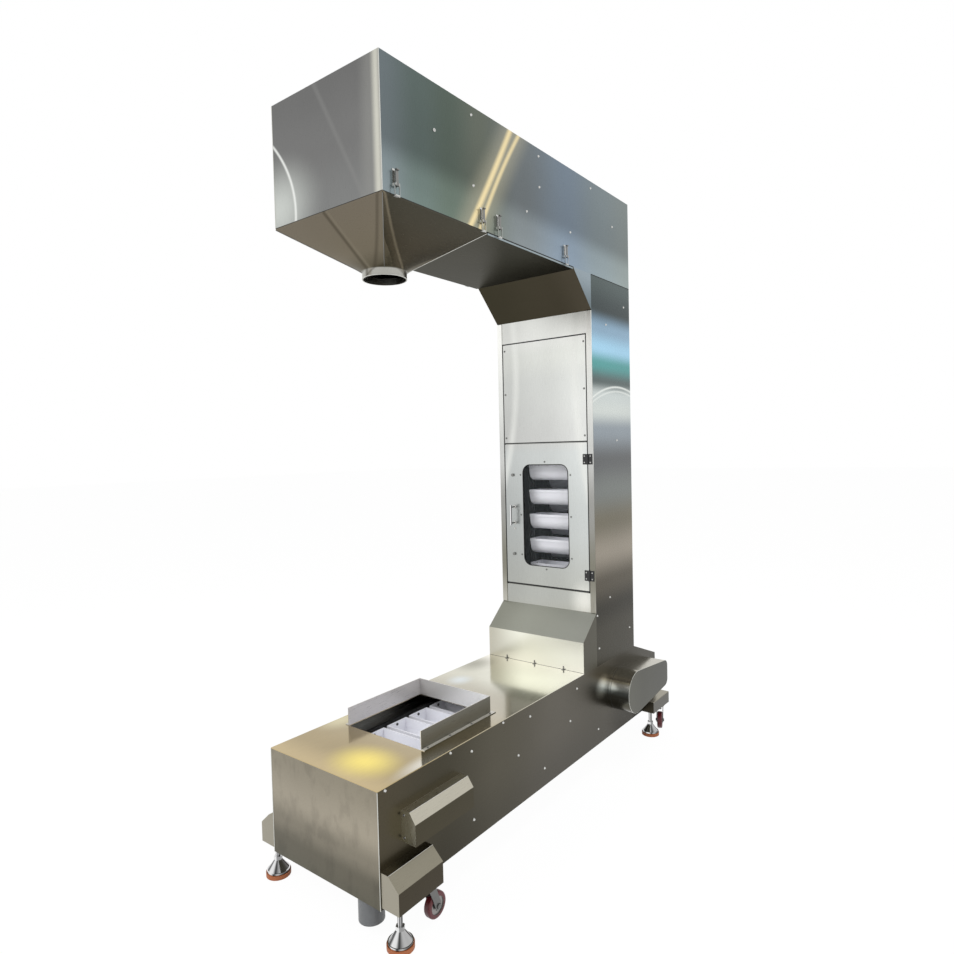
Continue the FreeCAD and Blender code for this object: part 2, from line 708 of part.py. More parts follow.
def pin_places():
    """Where each bucket hangs, evenly spaced along the chain from the start of the upper base run."""
    edges = chain_edges()
    edges = edges[1:] + edges[:1]
    total = sum(edge.Length for edge in edges)
    pitch = total / BUCKET_COUNT
    places = []
    for index in range(BUCKET_COUNT):
        along = (FIRST_BUCKET + index * pitch) % total
        for edge in edges:
            if along <= edge.Length:
                places.append(edge.valueAt(edge.getParameterByLength(along)))
                break
            along -= edge.Length
    return places


def bucket_chains():
    """Two strands, each of an inner and an outer line of side plates, and the buckets' pins."""
    band = chain_face(CHAIN_HEIGHT / 2).cut(chain_face(-CHAIN_HEIGHT / 2))
    solids = []
    for x in (CHAIN_INNER, CHAIN_OUTER - CHAIN_PLATE):
        plates = band.extrude(V(CHAIN_PLATE, 0, 0))
        plates.translate(V(x, 0, 0))
        solids += both_sides(plates.Solids[0])
    inside = BUCKET_WIDTH / 2 - 2 * BUCKET_WALL
    for place in pin_places():
        pin = across(inside, CHAIN_INNER, place.y, place.z, BUCKET_PIN)
        solids += both_sides(pin)
    return solids


def bucket_section(wall):
    """Side outline of a bucket about its hanging pin, shrunk by wall: straight waist and round bottom."""
    half = BUCKET_LENGTH / 2 - wall
    top = BUCKET_RIM_RISE
    waist = half - BUCKET_WAIST_IN
    bottom = wall - BUCKET_DEPTH
    points = [V(0, -waist, -BUCKET_WAIST), V(0, -half, top), V(0, half, top), V(0, waist, -BUCKET_WAIST)]
    edges = [Part.LineSegment(a, b).toShape() for a, b in zip(points, points[1:])]
    edges.append(Part.Arc(points[3], V(0, 0, bottom), points[0]).toShape())
    return Part.Face(Part.Wire(edges))


def bucket():
    """One open bucket hanging on its pins, with a rolled rim and a bored end wall on each side."""
    half = BUCKET_WIDTH / 2
    inside = half - BUCKET_WALL
    outer = bucket_section(0.0).extrude(V(BUCKET_WIDTH, 0, 0))
    outer.translate(V(-half, 0, 0))
    room = bucket_section(BUCKET_WALL).extrude(V(2 * inside, 0, 0))
    room.translate(V(-inside, 0, 0))
    over = BUCKET_LENGTH / 2 + BUCKET_RIM_LIP
    low = BUCKET_RIM_RISE - BUCKET_RIM_DEPTH
    rim = box(-half, half, -over, over, low, BUCKET_RIM_RISE)
    body = outer.fuse(rim).cut(room)
    bore = BUCKET_PIN + RUNNING_CLEARANCE
    for sign in SIDES:
        body = body.cut(across(sign * (inside - BUCKET_WALL), sign * (half + BUCKET_WALL), 0, 0, bore))
    return body.removeSplitter()


def buckets(indices):
    pattern = bucket()
    places = pin_places()
    solids = []
    for index in indices:
        copy = pattern.copy()
        copy.translate(places[index])
        solids.append(copy)
    return solids


def toothed_disc(x, y, z, teeth, root, tip, thickness):
    """A sprocket's disc as a polygon of flat-topped teeth, centred on x."""
    profile = (
        (-TOOTH_FOOT_SHARE, root),
        (-TOOTH_TIP_SHARE, tip),
        (TOOTH_TIP_SHARE, tip),
        (TOOTH_FOOT_SHARE, root),
    )
    points = []
    for tooth in range(teeth):
        for share, radius in profile:
            turn = 2 * math.pi * (tooth + share) / teeth
            points.append((y + radius * math.cos(turn), z + radius * math.sin(turn)))
    return prism(points, x - thickness / 2, x + thickness / 2)


def chain_wheel(sign, y, z):
    x = sign * CHAIN_X
    root = CHAIN_RADIUS - WHEEL_TOOTH
    disc = toothed_disc(x, y, z, WHEEL_TEETH, root, CHAIN_RADIUS + WHEEL_TOOTH, WHEEL_THICKNESS)
    hub_end = x - sign * WHEEL_HUB_LENGTH
    hub = across(hub_end, x, y, z, WHEEL_HUB)
    middle = (WHEEL_HUB + root) / 2
    hole = (root - WHEEL_HUB) / 4
    for index in range(WHEEL_HOLES):
        turn = 2 * math.pi * index / WHEEL_HOLES
        hole_y = y + middle * math.cos(turn)
        hole_z = z + middle * math.sin(turn)
        disc = disc.cut(across(x - WHEEL_THICKNESS, x + WHEEL_THICKNESS, hole_y, hole_z, hole))
    bore = across(-HALF, HALF, y, z, SHAFT_RADIUS)
    return disc.fuse(hub).cut(bore).removeSplitter()


def wheel_pair(y, z):
    return [chain_wheel(sign, y, z) for sign in SIDES]


def inner_shaft(y, z):
    """Shaft inside the casing with its pair of chain wheels, ending in the bearings on the side walls."""
    end = INNER - LOOSE_CLEARANCE
    return [across(-end, end, y, z, SHAFT_RADIUS)] + wheel_pair(y, z)


def tail_shaft():
    end = HALF + BEARING_LENGTH
    return [across(-end, end, TAIL_Y, DRIVE_Z, SHAFT_RADIUS)] + wheel_pair(TAIL_Y, DRIVE_Z)


def drive_shaft():
    """Driven shaft with its pair of chain wheels, long enough on the right to carry its sprocket."""
    left = HALF + BEARING_LENGTH
    right = SPROCKET_X + SPROCKET_THICKNESS * 2
    shaft = across(-left, right, OUTER_KNEE_Y, DRIVE_Z, SHAFT_RADIUS)
    return [shaft] + wheel_pair(OUTER_KNEE_Y, DRIVE_Z)


def pitch_radius(teeth):
    return DRIVE_PITCH / 2 / math.sin(math.pi / teeth)


def sprocket(y, teeth, shaft):
    radius = pitch_radius(teeth)
    tooth = DRIVE_CHAIN_HEIGHT / 3
    disc = toothed_disc(SPROCKET_X, y, DRIVE_Z, teeth, radius - tooth, radius + tooth, SPROCKET_THICKNESS)
    hub = across(SPROCKET_X, SPROCKET_X + 2 * SPROCKET_THICKNESS, y, DRIVE_Z, shaft + SPROCKET_THICKNESS)
    return disc.fuse(hub).cut(across(HALF, GUARD_FACE, y, DRIVE_Z, shaft)).removeSplitter()


def driven_sprocket():
    return [sprocket(OUTER_KNEE_Y, DRIVEN_TEETH, SHAFT_RADIUS)]


def motor_sprocket():
    """Small sprocket on the gearmotor's output shaft."""
    wheel = sprocket(MOTOR_Y, MOTOR_TEETH, MOTOR_SHAFT)
    start = INNER - GEARBOX_DEPTH / 2
    shaft = across(start, SPROCKET_X + 2 * SPROCKET_THICKNESS, MOTOR_Y, DRIVE_Z, MOTOR_SHAFT)
    return [wheel.fuse(shaft).removeSplitter()]


def belt_face(front_radius, rear_radius):
    """Outline round two circles on the drive's centre line, with straight tangents between them."""
    lean = math.acos((front_radius - rear_radius) / DRIVE_SPAN)

    def at(y, radius, turn):
        return V(0, y + radius * math.cos(turn), DRIVE_Z + radius * math.sin(turn))
    front_top = at(OUTER_KNEE_Y, front_radius, lean)
    front_mid = at(OUTER_KNEE_Y, front_radius, math.pi)
    front_low = at(OUTER_KNEE_Y, front_radius, -lean)
    rear_top = at(MOTOR_Y, rear_radius, lean)
    rear_mid = at(MOTOR_Y, rear_radius, 0)
    rear_low = at(MOTOR_Y, rear_radius, -lean)
    edges = [
        Part.Arc(front_top, front_mid, front_low).toShape(),
        Part.LineSegment(front_low, rear_low).toShape(),
        Part.Arc(rear_low, rear_mid, rear_top).toShape(),
        Part.LineSegment(rear_top, front_top).toShape(),
    ]
    return Part.Face(Part.Wire(edges))


def drive_chain():
    """Two lines of side plates round the driven and the motor sprocket."""
    front = pitch_radius(DRIVEN_TEETH)
    rear = pitch_radius(MOTOR_TEETH)
    half = DRIVE_CHAIN_HEIGHT / 2
    band = belt_face(front + half, rear + half).cut(belt_face(front - half, rear - half))
    solids = []
    for x in (SPROCKET_X - DRIVE_CHAIN_GAP / 2 - DRIVE_CHAIN_PLATE, SPROCKET_X + DRIVE_CHAIN_GAP / 2):
        plates = band.extrude(V(DRIVE_CHAIN_PLATE, 0, 0))
        plates.translate(V(x, 0, 0))
        solids.append(plates.Solids[0])
    return solids


def gearmotor():
    """Gearbox on the inside of the right wall, with the motor reaching across the housing."""
    half = GEARBOX_SIZE / 2
    start = INNER - GEARBOX_DEPTH
    gearbox = box(start, INNER, MOTOR_Y - half, MOTOR_Y + half, DRIVE_Z - half, DRIVE_Z + half)
    gearbox = gearbox.makeFillet(GEARBOX_CORNER, edges_along(gearbox, X_AXIS))
    bore_end = INNER - GEARBOX_DEPTH / 2 - LOOSE_CLEARANCE
    bore = across(bore_end, INNER + SHEET, MOTOR_Y, DRIVE_Z, MOTOR_SHAFT + RUNNING_CLEARANCE)
    end = start - MOTOR_LENGTH
    motor = across(end, start, MOTOR_Y, DRIVE_Z, MOTOR_RADIUS)
    fan_cover = across(end - FAN_COVER_LENGTH, end, MOTOR_Y, DRIVE_Z, MOTOR_RADIUS - SHEET)
    return [gearbox.cut(bore).fuse([motor, fan_cover]).removeSplitter()]


def guard_face(sheet):
    """Side outline of the drive guard: round front end, level rear end with round corners."""
    radius = GUARD_FRONT_RADIUS - sheet
    half = GUARD_REAR_HEIGHT / 2 - sheet
    rear = MOTOR_Y + GUARD_REAR_REACH - sheet
    corner = GUARD_CORNER - sheet
    rise = (radius - half) / (rear - OUTER_KNEE_Y)
    lean = math.pi / 2 - math.atan(rise)

    def front(turn):
        return V(0, OUTER_KNEE_Y + radius * math.cos(turn), DRIVE_Z + radius * math.sin(turn))

    def rear_point(back, level):
        return V(0, rear - back, DRIVE_Z + level)
    cut_in = corner * (1 - math.cos(math.pi / 4))
    upper = half + corner * rise
    low_start = rear_point(corner, -upper)
    low_end = rear_point(0, corner - half)
    high_start = rear_point(0, half - corner)
    high_end = rear_point(corner, upper)
    edges = [
        Part.Arc(front(lean), front(math.pi), front(-lean)).toShape(),
        Part.LineSegment(front(-lean), low_start).toShape(),
        Part.Arc(low_start, rear_point(cut_in, cut_in - half), low_end).toShape(),
        Part.LineSegment(low_end, high_start).toShape(),
        Part.Arc(high_start, rear_point(cut_in, half - cut_in), high_end).toShape(),
        Part.LineSegment(high_end, front(lean)).toShape(),
    ]
    return Part.Face(Part.Wire(edges))


def drive_guard():
    """Deep cover over both sprockets, open towards the casing's side plate."""
    outer = guard_face(0.0).extrude(V(GUARD_DEPTH, 0, 0))
    outer.translate(V(HALF, 0, 0))
    room = guard_face(GUARD_SHEET).extrude(V(GUARD_DEPTH - GUARD_SHEET, 0, 0))
    room.translate(V(HALF, 0, 0))
    return [outer.cut(room)]


def bearings():
    """Flanged housings: outside the walls at the tail and drive shafts, inside the walls elsewhere."""
    bore = SHAFT_RADIUS + RUNNING_CLEARANCE
    solids = []
    for y in (TAIL_Y, OUTER_KNEE_Y):
        solids += both_sides(ring(V(HALF, y, DRIVE_Z), X_AXIS, BEARING_RADIUS, bore, BEARING_LENGTH))
    high = HEAD_RUN + CHAIN_RADIUS
    inner_places = (
        (INNER_KNEE_Y, UPPER_RUN + CHAIN_RADIUS),
        (INNER_KNEE_Y, HEAD_RUN - CHAIN_RADIUS),
        (DISCHARGE_Y, high),
        (OUTER_KNEE_Y, high),
    )
    for y, z in inner_places:
        start = V(INNER - BEARING_LENGTH, y, z)
        solids += both_sides(ring(start, X_AXIS, BEARING_RADIUS, bore, BEARING_LENGTH))
    return solids


def angle_rail(y0, y1, z0, z1, leg_y, leg_z):
    """An angle from the right wall to under the chain: a shelf, and a leg along the wall."""
    shelf = box(CHAIN_INNER, INNER, y0, y1, z0, z1)
    leg = box(INNER - RAIL_SHEET, INNER, leg_y[0], leg_y[1], leg_z[0], leg_z[1])
    return shelf.fuse(leg).removeSplitter()


def level_rail(start, end, run, up):
    """Rail under a level run of the chain, its leg turned up or down."""
    top = run - CHAIN_HEIGHT / 2 - LOOSE_CLEARANCE
    low = top - RAIL_SHEET
    leg = (low, low + RAIL_LEG) if up else (top - RAIL_LEG, top)
    return angle_rail(start, end, low, top, (start, end), leg)


def upright_rail(run, start, end):
    """Rail behind an upright run of the chain."""
    near = run + CHAIN_HEIGHT / 2 + LOOSE_CLEARANCE
    return angle_rail(near, near + RAIL_SHEET, start, end, (near, near + RAIL_LEG), (start, end))


def chain_rails():
    """Rails behind every straight leg of the chain except the returning one in the column."""
    rails = [
        level_rail(TAIL_Y + RAIL_NEAR, INNER_KNEE_Y - RAIL_NEAR, UPPER_RUN, True),
        level_rail(TAIL_Y + RAIL_NEAR, OUTER_KNEE_Y - RAIL_FAR, LOWER_RUN, False),
        level_rail(DISCHARGE_Y + RAIL_FAR, INNER_KNEE_Y - RAIL_NEAR, HEAD_RUN, True),
        level_rail(DISCHARGE_Y + RAIL_NEAR, OUTER_KNEE_Y - RAIL_NEAR, TOP_RUN, True),
        upright_rail(FRONT_RUN, UPPER_RUN + 2 * CHAIN_RADIUS, HEAD_RUN - 2 * CHAIN_RADIUS),
    ]
    solids = []
    for rail in rails:
        solids += both_sides(rail)
    return solids


def beveled_box(y0, y1, foot, height, reach, bevel):
    """A sheet box on the right side with its outer top edge bevelled, open towards the wall."""
    def solid(wall, start, end):
        outer = HALF + reach - wall
        low = foot + wall
        top = foot + height - wall
        outline = [
            (HALF, low),
            (HALF, top),
            (HALF + reach - bevel[0] - wall / 2, top),
            (outer, top - bevel[1] + wall / 2),
            (outer, low),
        ]
        corners = [V(x, start, z) for x, z in outline]
        face = Part.Face(Part.makePolygon(corners + corners[:1]))
        return face.extrude(V(0, end - start, 0))

    return solid(0.0, y0, y1).cut(solid(BOX_SHEET, y0 + BOX_SHEET, y1 - BOX_SHEET))


def takeup_covers():
    """Covers over the tail shaft's bearings, one on each side."""
    end = TAKEUP_Y + TAKEUP_LENGTH
    return both_sides(beveled_box(TAKEUP_Y, end, TAKEUP_FOOT, TAKEUP_HEIGHT, TAKEUP_REACH, TAKEUP_BEVEL))


def outrigger(y, height, bevel):
    """A foot and caster carrier: sheet box, thick floor, threaded boss and the holes in it."""
    shell = beveled_box(y, y + BOX_LENGTH, BOX_FLOOR, height, BOX_REACH, bevel)
    inside = HALF + BOX_REACH - BOX_SHEET
    plate_top = BOX_FLOOR + BOX_PLATE
    floor = box(HALF, inside, y + BOX_SHEET, y + BOX_LENGTH - BOX_SHEET, BOX_FLOOR, plate_top)
    foot_y = y + FOOT_SETBACK
    boss = rod(V(FOOT_X, foot_y, plate_top), Z_AXIS, FOOT_BOSS_RADIUS, FOOT_BOSS_HEIGHT)
    thread = rod(V(FOOT_X, foot_y, 0), Z_AXIS, FOOT_STEM + RUNNING_CLEARANCE, FOOT_STEM_TOP)
    pin_hole = rod(V(FOOT_X, y + CASTER_SETBACK, 0), Z_AXIS, KINGPIN, plate_top + SHEET)
    return shell.fuse([floor, boss]).cut(thread).cut(pin_hole).removeSplitter()


def outriggers():
    front = outrigger(FRONT_BOX_Y, FRONT_BOX_HEIGHT, FRONT_BOX_BEVEL)
    rear = outrigger(REAR_BOX_Y, REAR_BOX_HEIGHT, (BOX_SHEET, BOX_SHEET))
    return both_sides(front) + both_sides(rear)


def levelling_foot(sign, box_y):
    """Rubber ring, chrome cup and cone, hexagon and threaded stem."""
    centre = V(sign * FOOT_X, box_y + FOOT_SETBACK, 0)

    def at(z):
        return centre + V(0, 0, z)
    socket = FOOT_PAD_HEIGHT / 2
    pad = rod(at(0), Z_AXIS, FOOT_PAD_RADIUS, FOOT_PAD_HEIGHT)
    pad = pad.cut(rod(at(FOOT_PAD_HEIGHT - socket), Z_AXIS, FOOT_CUP_RADIUS, socket))
    cup = rod(at(FOOT_PAD_HEIGHT - socket), Z_AXIS, FOOT_CUP_RADIUS, socket + FOOT_CUP_HEIGHT)
    cone_foot = FOOT_PAD_HEIGHT + FOOT_CUP_HEIGHT
    cone = Part.makeCone(FOOT_CUP_RADIUS - SHEET, FOOT_NECK_RADIUS, FOOT_CONE_HEIGHT, at(cone_foot), Z_AXIS)
    hex_foot = cone_foot + FOOT_CONE_HEIGHT
    corners = []
    for index in range(6):
        turn = math.radians(60 * index)
        corner = V(FOOT_HEX_RADIUS * math.cos(turn), FOOT_HEX_RADIUS * math.sin(turn), 0)
        corners.append(at(hex_foot) + corner)
    nut = Part.Face(Part.makePolygon(corners + corners[:1])).extrude(V(0, 0, FOOT_HEX_HEIGHT))
    stem = rod(at(hex_foot), Z_AXIS, FOOT_STEM, FOOT_STEM_TOP - hex_foot)
    return [cup.fuse([cone, nut, stem]).removeSplitter(), pad]


def kingpin_at(sign, box_y):
    return V(sign * FOOT_X, box_y + CASTER_SETBACK, 0)


def caster_plates():
    """Top plates of the four casters, each with its kingpin."""
    solids = []
    half = CASTER_PLATE_SIZE / 2
    low = BOX_FLOOR - CASTER_PLATE
    for sign in SIDES:
        for box_y in (FRONT_BOX_Y, REAR_BOX_Y):
            at = kingpin_at(sign, box_y)
            plate = box(at.x - half, at.x + half, at.y - half, at.y + half, low, BOX_FLOOR)
            foot = low - CASTER_HEAD_HEIGHT - LOOSE_CLEARANCE - CASTER_PLATE
            pin = rod(V(at.x, at.y, foot), Z_AXIS, KINGPIN, BOX_FLOOR + 2 * BOX_PLATE - foot)
            button = rod(V(at.x, at.y, foot), -Z_AXIS, KINGPIN + CASTER_PLATE, CASTER_PLATE)
            solids.append(plate.fuse([pin, button]).removeSplitter())
    return solids


def turned(shape, sign, box_y, turn):
    """Turns a caster's piece about its kingpin from trailing to the rear, mirrored on the left side."""
    at = kingpin_at(sign, box_y)
    return shape.rotate(at, Z_AXIS, sign * turn)


def caster_fork(sign, box_y, turn):
    """Swivel head and two fork plates down to the axle."""
    at = kingpin_at(sign, box_y)
    head_top = BOX_FLOOR - CASTER_PLATE - LOOSE_CLEARANCE
    head_low = head_top - CASTER_HEAD_HEIGHT
    axle_z = CASTER_WHEEL + CASTER_LIFT
    axle_y = at.y + CASTER_TRAIL
    gap = CASTER_WIDTH / 2 + CASTER_CHEEK_GAP
    crown_half = gap + CASTER_FORK
    crown_front = at.y - CASTER_CROWN_FRONT
    crown_rear = at.y + CASTER_CROWN_REAR
    crown_top = head_low + CASTER_FORK
    outline = [
        (crown_front, crown_top),
        (axle_y - CASTER_EYE, axle_z - CASTER_EYE),
        (axle_y + CASTER_EYE, axle_z - CASTER_EYE),
        (axle_y + CASTER_EYE, axle_z + CASTER_EYE),
        (crown_rear, crown_top),
    ]
    head = rod(V(at.x, at.y, head_low), Z_AXIS, CASTER_HEAD_RADIUS, CASTER_HEAD_HEIGHT)
    crown = box(at.x - crown_half, at.x + crown_half, crown_front, crown_rear, head_low, crown_top)
    axle_half = crown_half + CASTER_FORK
    axle = across(at.x - axle_half, at.x + axle_half, axle_y, axle_z, CASTER_AXLE)
    cheeks = []
    for side in SIDES:
        x0, x1 = sorted((at.x + side * gap, at.x + side * crown_half))
        cheeks.append(prism(outline, x0, x1))
    bore = rod(V(at.x, at.y, 0), Z_AXIS, KINGPIN + RUNNING_CLEARANCE, BOX_FLOOR)
    body = head.fuse([crown, axle] + cheeks).cut(bore).removeSplitter()
    return [turned(body, sign, box_y, turn)]


def caster_wheel(sign, box_y, turn):
    """Tyre and hub as one wheel, crowned at its edges and bored for the axle."""
    at = kingpin_at(sign, box_y)
    centre = V(at.x, at.y + CASTER_TRAIL, CASTER_WHEEL + CASTER_LIFT)
    half = CASTER_WIDTH / 2
    wheel = across(centre.x - half, centre.x + half, centre.y, centre.z, CASTER_WHEEL)
    rims = [edge for edge in wheel.Edges if len(edge.Vertexes) == 1]
    wheel = wheel.makeFillet(CASTER_ROUNDING, rims)
    for side in SIDES:
        start = centre.x + side * (half - SHEET)
        foot = V(min(start, start + side * 2 * SHEET), centre.y, centre.z)
        wheel = wheel.cut(ring(foot, X_AXIS, CASTER_HUB, CASTER_EYE, 2 * SHEET))
    bore = CASTER_AXLE + RUNNING_CLEARANCE
    wheel = wheel.cut(across(centre.x - half, centre.x + half, centre.y, centre.z, bore))
    return [turned(wheel, sign, box_y, turn)]


def drain_tube():
    foot = V(DRAIN_X, DRAIN_Y, BASE_FLOOR - DRAIN_LENGTH)
    return [ring(foot, Z_AXIS, DRAIN_RADIUS, DRAIN_RADIUS - DRAIN_WALL, DRAIN_LENGTH)]


def casing_screws():
    """Screw heads on the side plates."""
    groups = (
        (BASE_SCREWS_ABOVE_FLOOR, 0.0, BASE_FLOOR, 1),
        (BASE_SCREWS_BELOW_TOP, 0.0, BASE_TOP, -1),
        (COLUMN_SCREWS_ABOVE_BASE, COLUMN_FRONT, BASE_TOP, 1),
        (COLUMN_SCREWS_BELOW_HEAD, COLUMN_FRONT, HEAD_FLOOR, -1),
        (HEAD_SCREWS_ABOVE_FLOOR, HEAD_FRONT, HEAD_FLOOR, 1),
    )
    solids = []
    for rows, front, level, way in groups:
        for along, rise, pitch, count in rows:
            for index in range(count):
                at = V(HALF, front + along + index * pitch, level + way * rise)
                solids += both_sides(Part.makeCone(SCREW_RADIUS, SCREW_TIP, SCREW_HEAD, at, X_AXIS))
    return solids


def corner_name(sign, box_y):
    end = "front" if box_y == FRONT_BOX_Y else "rear"
    return end + ("_right" if sign == 1 else "_left")


def save(name, solids):
    """Moves the solids so that the part's origin is the middle of its footprint, and writes them."""
    shape = solids[0] if len(solids) == 1 else Part.makeCompound(solids)
    shape.translate(-ORIGIN)
    shape.exportStep(os.path.join("parts", name + ".step"))


def build():
    os.makedirs("parts", exist_ok=True)
    singles = (
        base_casing, base_lid, inlet_frame, transition_casing, column_casing, knee_casing,
        head_casing, discharge_hopper, head_pan, column_cover, access_door, door_window, door_handle,
        hinge_leaves_column, hinge_leaves_door, latch_bases, bucket_chains, tail_shaft, drive_shaft,
        driven_sprocket, motor_sprocket, drive_chain, gearmotor, drive_guard, bearings, chain_rails,
        takeup_covers, outriggers, caster_plates, drain_tube, casing_screws,
    )
    for make in singles:
        save(make.__name__, make())
    for word, height in zip(("lower", "upper"), CATCH_HEIGHTS):
        save("door_catch_" + word, door_catch(height))
    for word, places in (("hopper", HOPPER_LATCH_PLACES), ("pan", PAN_LATCH_PLACES)):
        for side, sign in (("right", 1), ("left", -1)):
            save(word + "_latches_" + side, latch_levers(places, sign))
    high = HEAD_RUN + CHAIN_RADIUS
    save("discharge_shaft", inner_shaft(DISCHARGE_Y, high))
    save("top_corner_shaft", inner_shaft(OUTER_KNEE_Y, high))
    save("lower_knee_shaft", inner_shaft(INNER_KNEE_Y, UPPER_RUN + CHAIN_RADIUS))
    save("upper_knee_shaft", inner_shaft(INNER_KNEE_Y, HEAD_RUN - CHAIN_RADIUS))
    for name, indices in (("inlet_bucket", INLET_BUCKETS), ("window_bucket", WINDOW_BUCKETS)):
        for number, index in enumerate(indices, 1):
            save(f"{name}_{number}", buckets([index]))
    apart = INLET_BUCKETS + WINDOW_BUCKETS
    save("carrier_buckets", buckets([i for i in range(BUCKET_COUNT) if i not in apart]))
    for box_y, turn in ((FRONT_BOX_Y, FRONT_CASTER_TURN), (REAR_BOX_Y, REAR_CASTER_TURN)):
        for sign in SIDES:
            corner = corner_name(sign, box_y)
            save("levelling_foot_" + corner, levelling_foot(sign, box_y))
            save("caster_fork_" + corner, caster_fork(sign, box_y, turn))
            save("caster_wheel_" + corner, caster_wheel(sign, box_y, turn))


build()
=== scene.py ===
import json
import math

import bpy
from mathutils import Matrix, Vector

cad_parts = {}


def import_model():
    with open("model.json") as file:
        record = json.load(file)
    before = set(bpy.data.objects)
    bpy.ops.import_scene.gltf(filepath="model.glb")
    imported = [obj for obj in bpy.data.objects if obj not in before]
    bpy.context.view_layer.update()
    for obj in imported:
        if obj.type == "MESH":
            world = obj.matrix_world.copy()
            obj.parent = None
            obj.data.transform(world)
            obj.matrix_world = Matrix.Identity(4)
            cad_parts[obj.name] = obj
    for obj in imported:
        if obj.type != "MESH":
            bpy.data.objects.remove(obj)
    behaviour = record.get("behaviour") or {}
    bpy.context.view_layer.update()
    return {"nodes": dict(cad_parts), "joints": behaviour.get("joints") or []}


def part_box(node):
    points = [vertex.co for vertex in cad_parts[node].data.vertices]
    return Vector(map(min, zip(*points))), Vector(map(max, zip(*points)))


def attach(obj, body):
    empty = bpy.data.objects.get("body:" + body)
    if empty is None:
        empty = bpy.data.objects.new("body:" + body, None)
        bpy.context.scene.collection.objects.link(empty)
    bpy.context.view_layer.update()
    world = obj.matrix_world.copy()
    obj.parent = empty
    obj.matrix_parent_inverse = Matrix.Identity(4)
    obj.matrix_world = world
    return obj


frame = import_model()

MM = 0.001
X, Y, Z = 0, 1, 2
NODES = frame["nodes"]
JOINTS = {joint["name"]: joint for joint in frame["joints"]}
BASE_LOW, BASE_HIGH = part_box("base_casing")
COLUMN_LOW, COLUMN_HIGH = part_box("column_casing")
HEAD_LOW, HEAD_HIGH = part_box("head_casing")
DOOR_LOW, DOOR_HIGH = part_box("access_door")
COVER_LOW, COVER_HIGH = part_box("column_cover")
INLET_LOW, INLET_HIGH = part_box("inlet_frame")
HOOD_LOW, HOOD_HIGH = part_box("transition_casing")
GUARD_LOW, GUARD_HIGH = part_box("drive_guard")
MIDDLE = (BASE_LOW[X] + BASE_HIGH[X]) / 2
HALF = (BASE_HIGH[X] - BASE_LOW[X]) / 2
SIDES = (("right", 1), ("left", -1))
FORWARD = (0, -1, 0)
UPWARD = (0, 0, 1)
HEXAGON = 6

# Camera, from the photograph's perspective
CAMERA_PLACE = Vector((1.6235, -2.267, 1.4215))
CAMERA_AZIMUTH = 37.79
CAMERA_ELEVATION = 2.25
CAMERA_ROLL = -1.36
CAMERA_LENS = 25.31
SENSOR = 36.0

# Sizes of the solids that the details fit
LID = 3 * MM
INLET_FLANGE = 2.5 * MM
SPOUT_RADIUS = 75 * MM
SPOUT_COLLAR = 24 * MM
GUARD_TAIL = 117 * MM
GUARD_CORNER = 26 * MM
WINDOW_CORNER = 38 * MM

# The window's half width, foot and top, in millimetres for design()
WINDOW_HALF = 121
WINDOW_FOOT = 880
WINDOW_TOP = 1350

# Chain in the base: half spacing, height, pitch, rollers, pins and the reach of its plates
CHAIN_X = 150 * MM
CHAIN_RUN = 410 * MM
CHAIN_PITCH = 29.1 * MM
ROLLER_RADIUS = 8.5 * MM
ROLLER_LENGTH = 7.4 * MM
PIN_RADIUS = 4 * MM
PLATE_REACH = 7 * MM


# Node helpers

def new_material(name):
    material = bpy.data.materials.new(name)
    material.use_nodes = True
    tree = material.node_tree
    return material, tree.nodes, tree.links, tree.nodes["Principled BSDF"]


def value_math(nodes, links, kind, *values):
    node = nodes.new("ShaderNodeMath")
    node.operation = kind
    for socket, value in zip(node.inputs, values):
        if isinstance(value, (int, float)):
            socket.default_value = value
        else:
            links.new(value, socket)
    return node.outputs[0]


def vector_math(nodes, links, kind, first, second):
    node = nodes.new("ShaderNodeVectorMath")
    node.operation = kind
    links.new(first, node.inputs[0])
    node.inputs[1].default_value = second
    return node.outputs[0]


def vector_length(nodes, links, vector):
    node = nodes.new("ShaderNodeVectorMath")
    node.operation = "LENGTH"
    links.new(vector, node.inputs[0])
    return node.outputs["Value"]


def rescaled(nodes, links, value, start, end, first=0.0, last=1.0, kind="LINEAR"):
    """Carries value from the range start to end over to first to last."""
    node = nodes.new("ShaderNodeMapRange")
    node.interpolation_type = kind
    for name, number in (("From Min", start), ("From Max", end), ("To Min", first), ("To Max", last)):
        node.inputs[name].default_value = number
    links.new(value, node.inputs["Value"])
    return node.outputs[0]


def object_point(nodes):
    return nodes.new("ShaderNodeTexCoord").outputs["Object"]


def split(nodes, links, vector):
    node = nodes.new("ShaderNodeSeparateXYZ")
    links.new(vector, node.inputs[0])
    return node.outputs


def run_colour(nodes, links, place, run):
    """Colour along one axis. run is (axis, start, end, stops), stops are (share of the way, colour)."""
    axis, start, end, stops = run
    ramp = nodes.new("ShaderNodeValToRGB")
    ramp.color_ramp.interpolation = "EASE"
    elements = ramp.color_ramp.elements
    while len(elements) < len(stops):
        elements.new(0.5)
    for element, (share, colour) in zip(elements, stops):
        element.position = share
        element.color = (*colour, 1)
    links.new(rescaled(nodes, links, place[axis], start, end), ramp.inputs[0])
    return ramp.outputs[0]


def mix_colour(nodes, links, share, first, second, kind="MIX"):
    node = nodes.new("ShaderNodeMix")
    node.data_type = "RGBA"
    node.blend_type = kind
    for socket, value in zip((node.inputs[0], node.inputs[6], node.inputs[7]), (share, first, second)):
        if isinstance(value, (int, float)):
            socket.default_value = value
        elif isinstance(value, tuple):
            socket.default_value = (*value, 1)
        else:
            links.new(value, socket)
    return node.outputs[2]


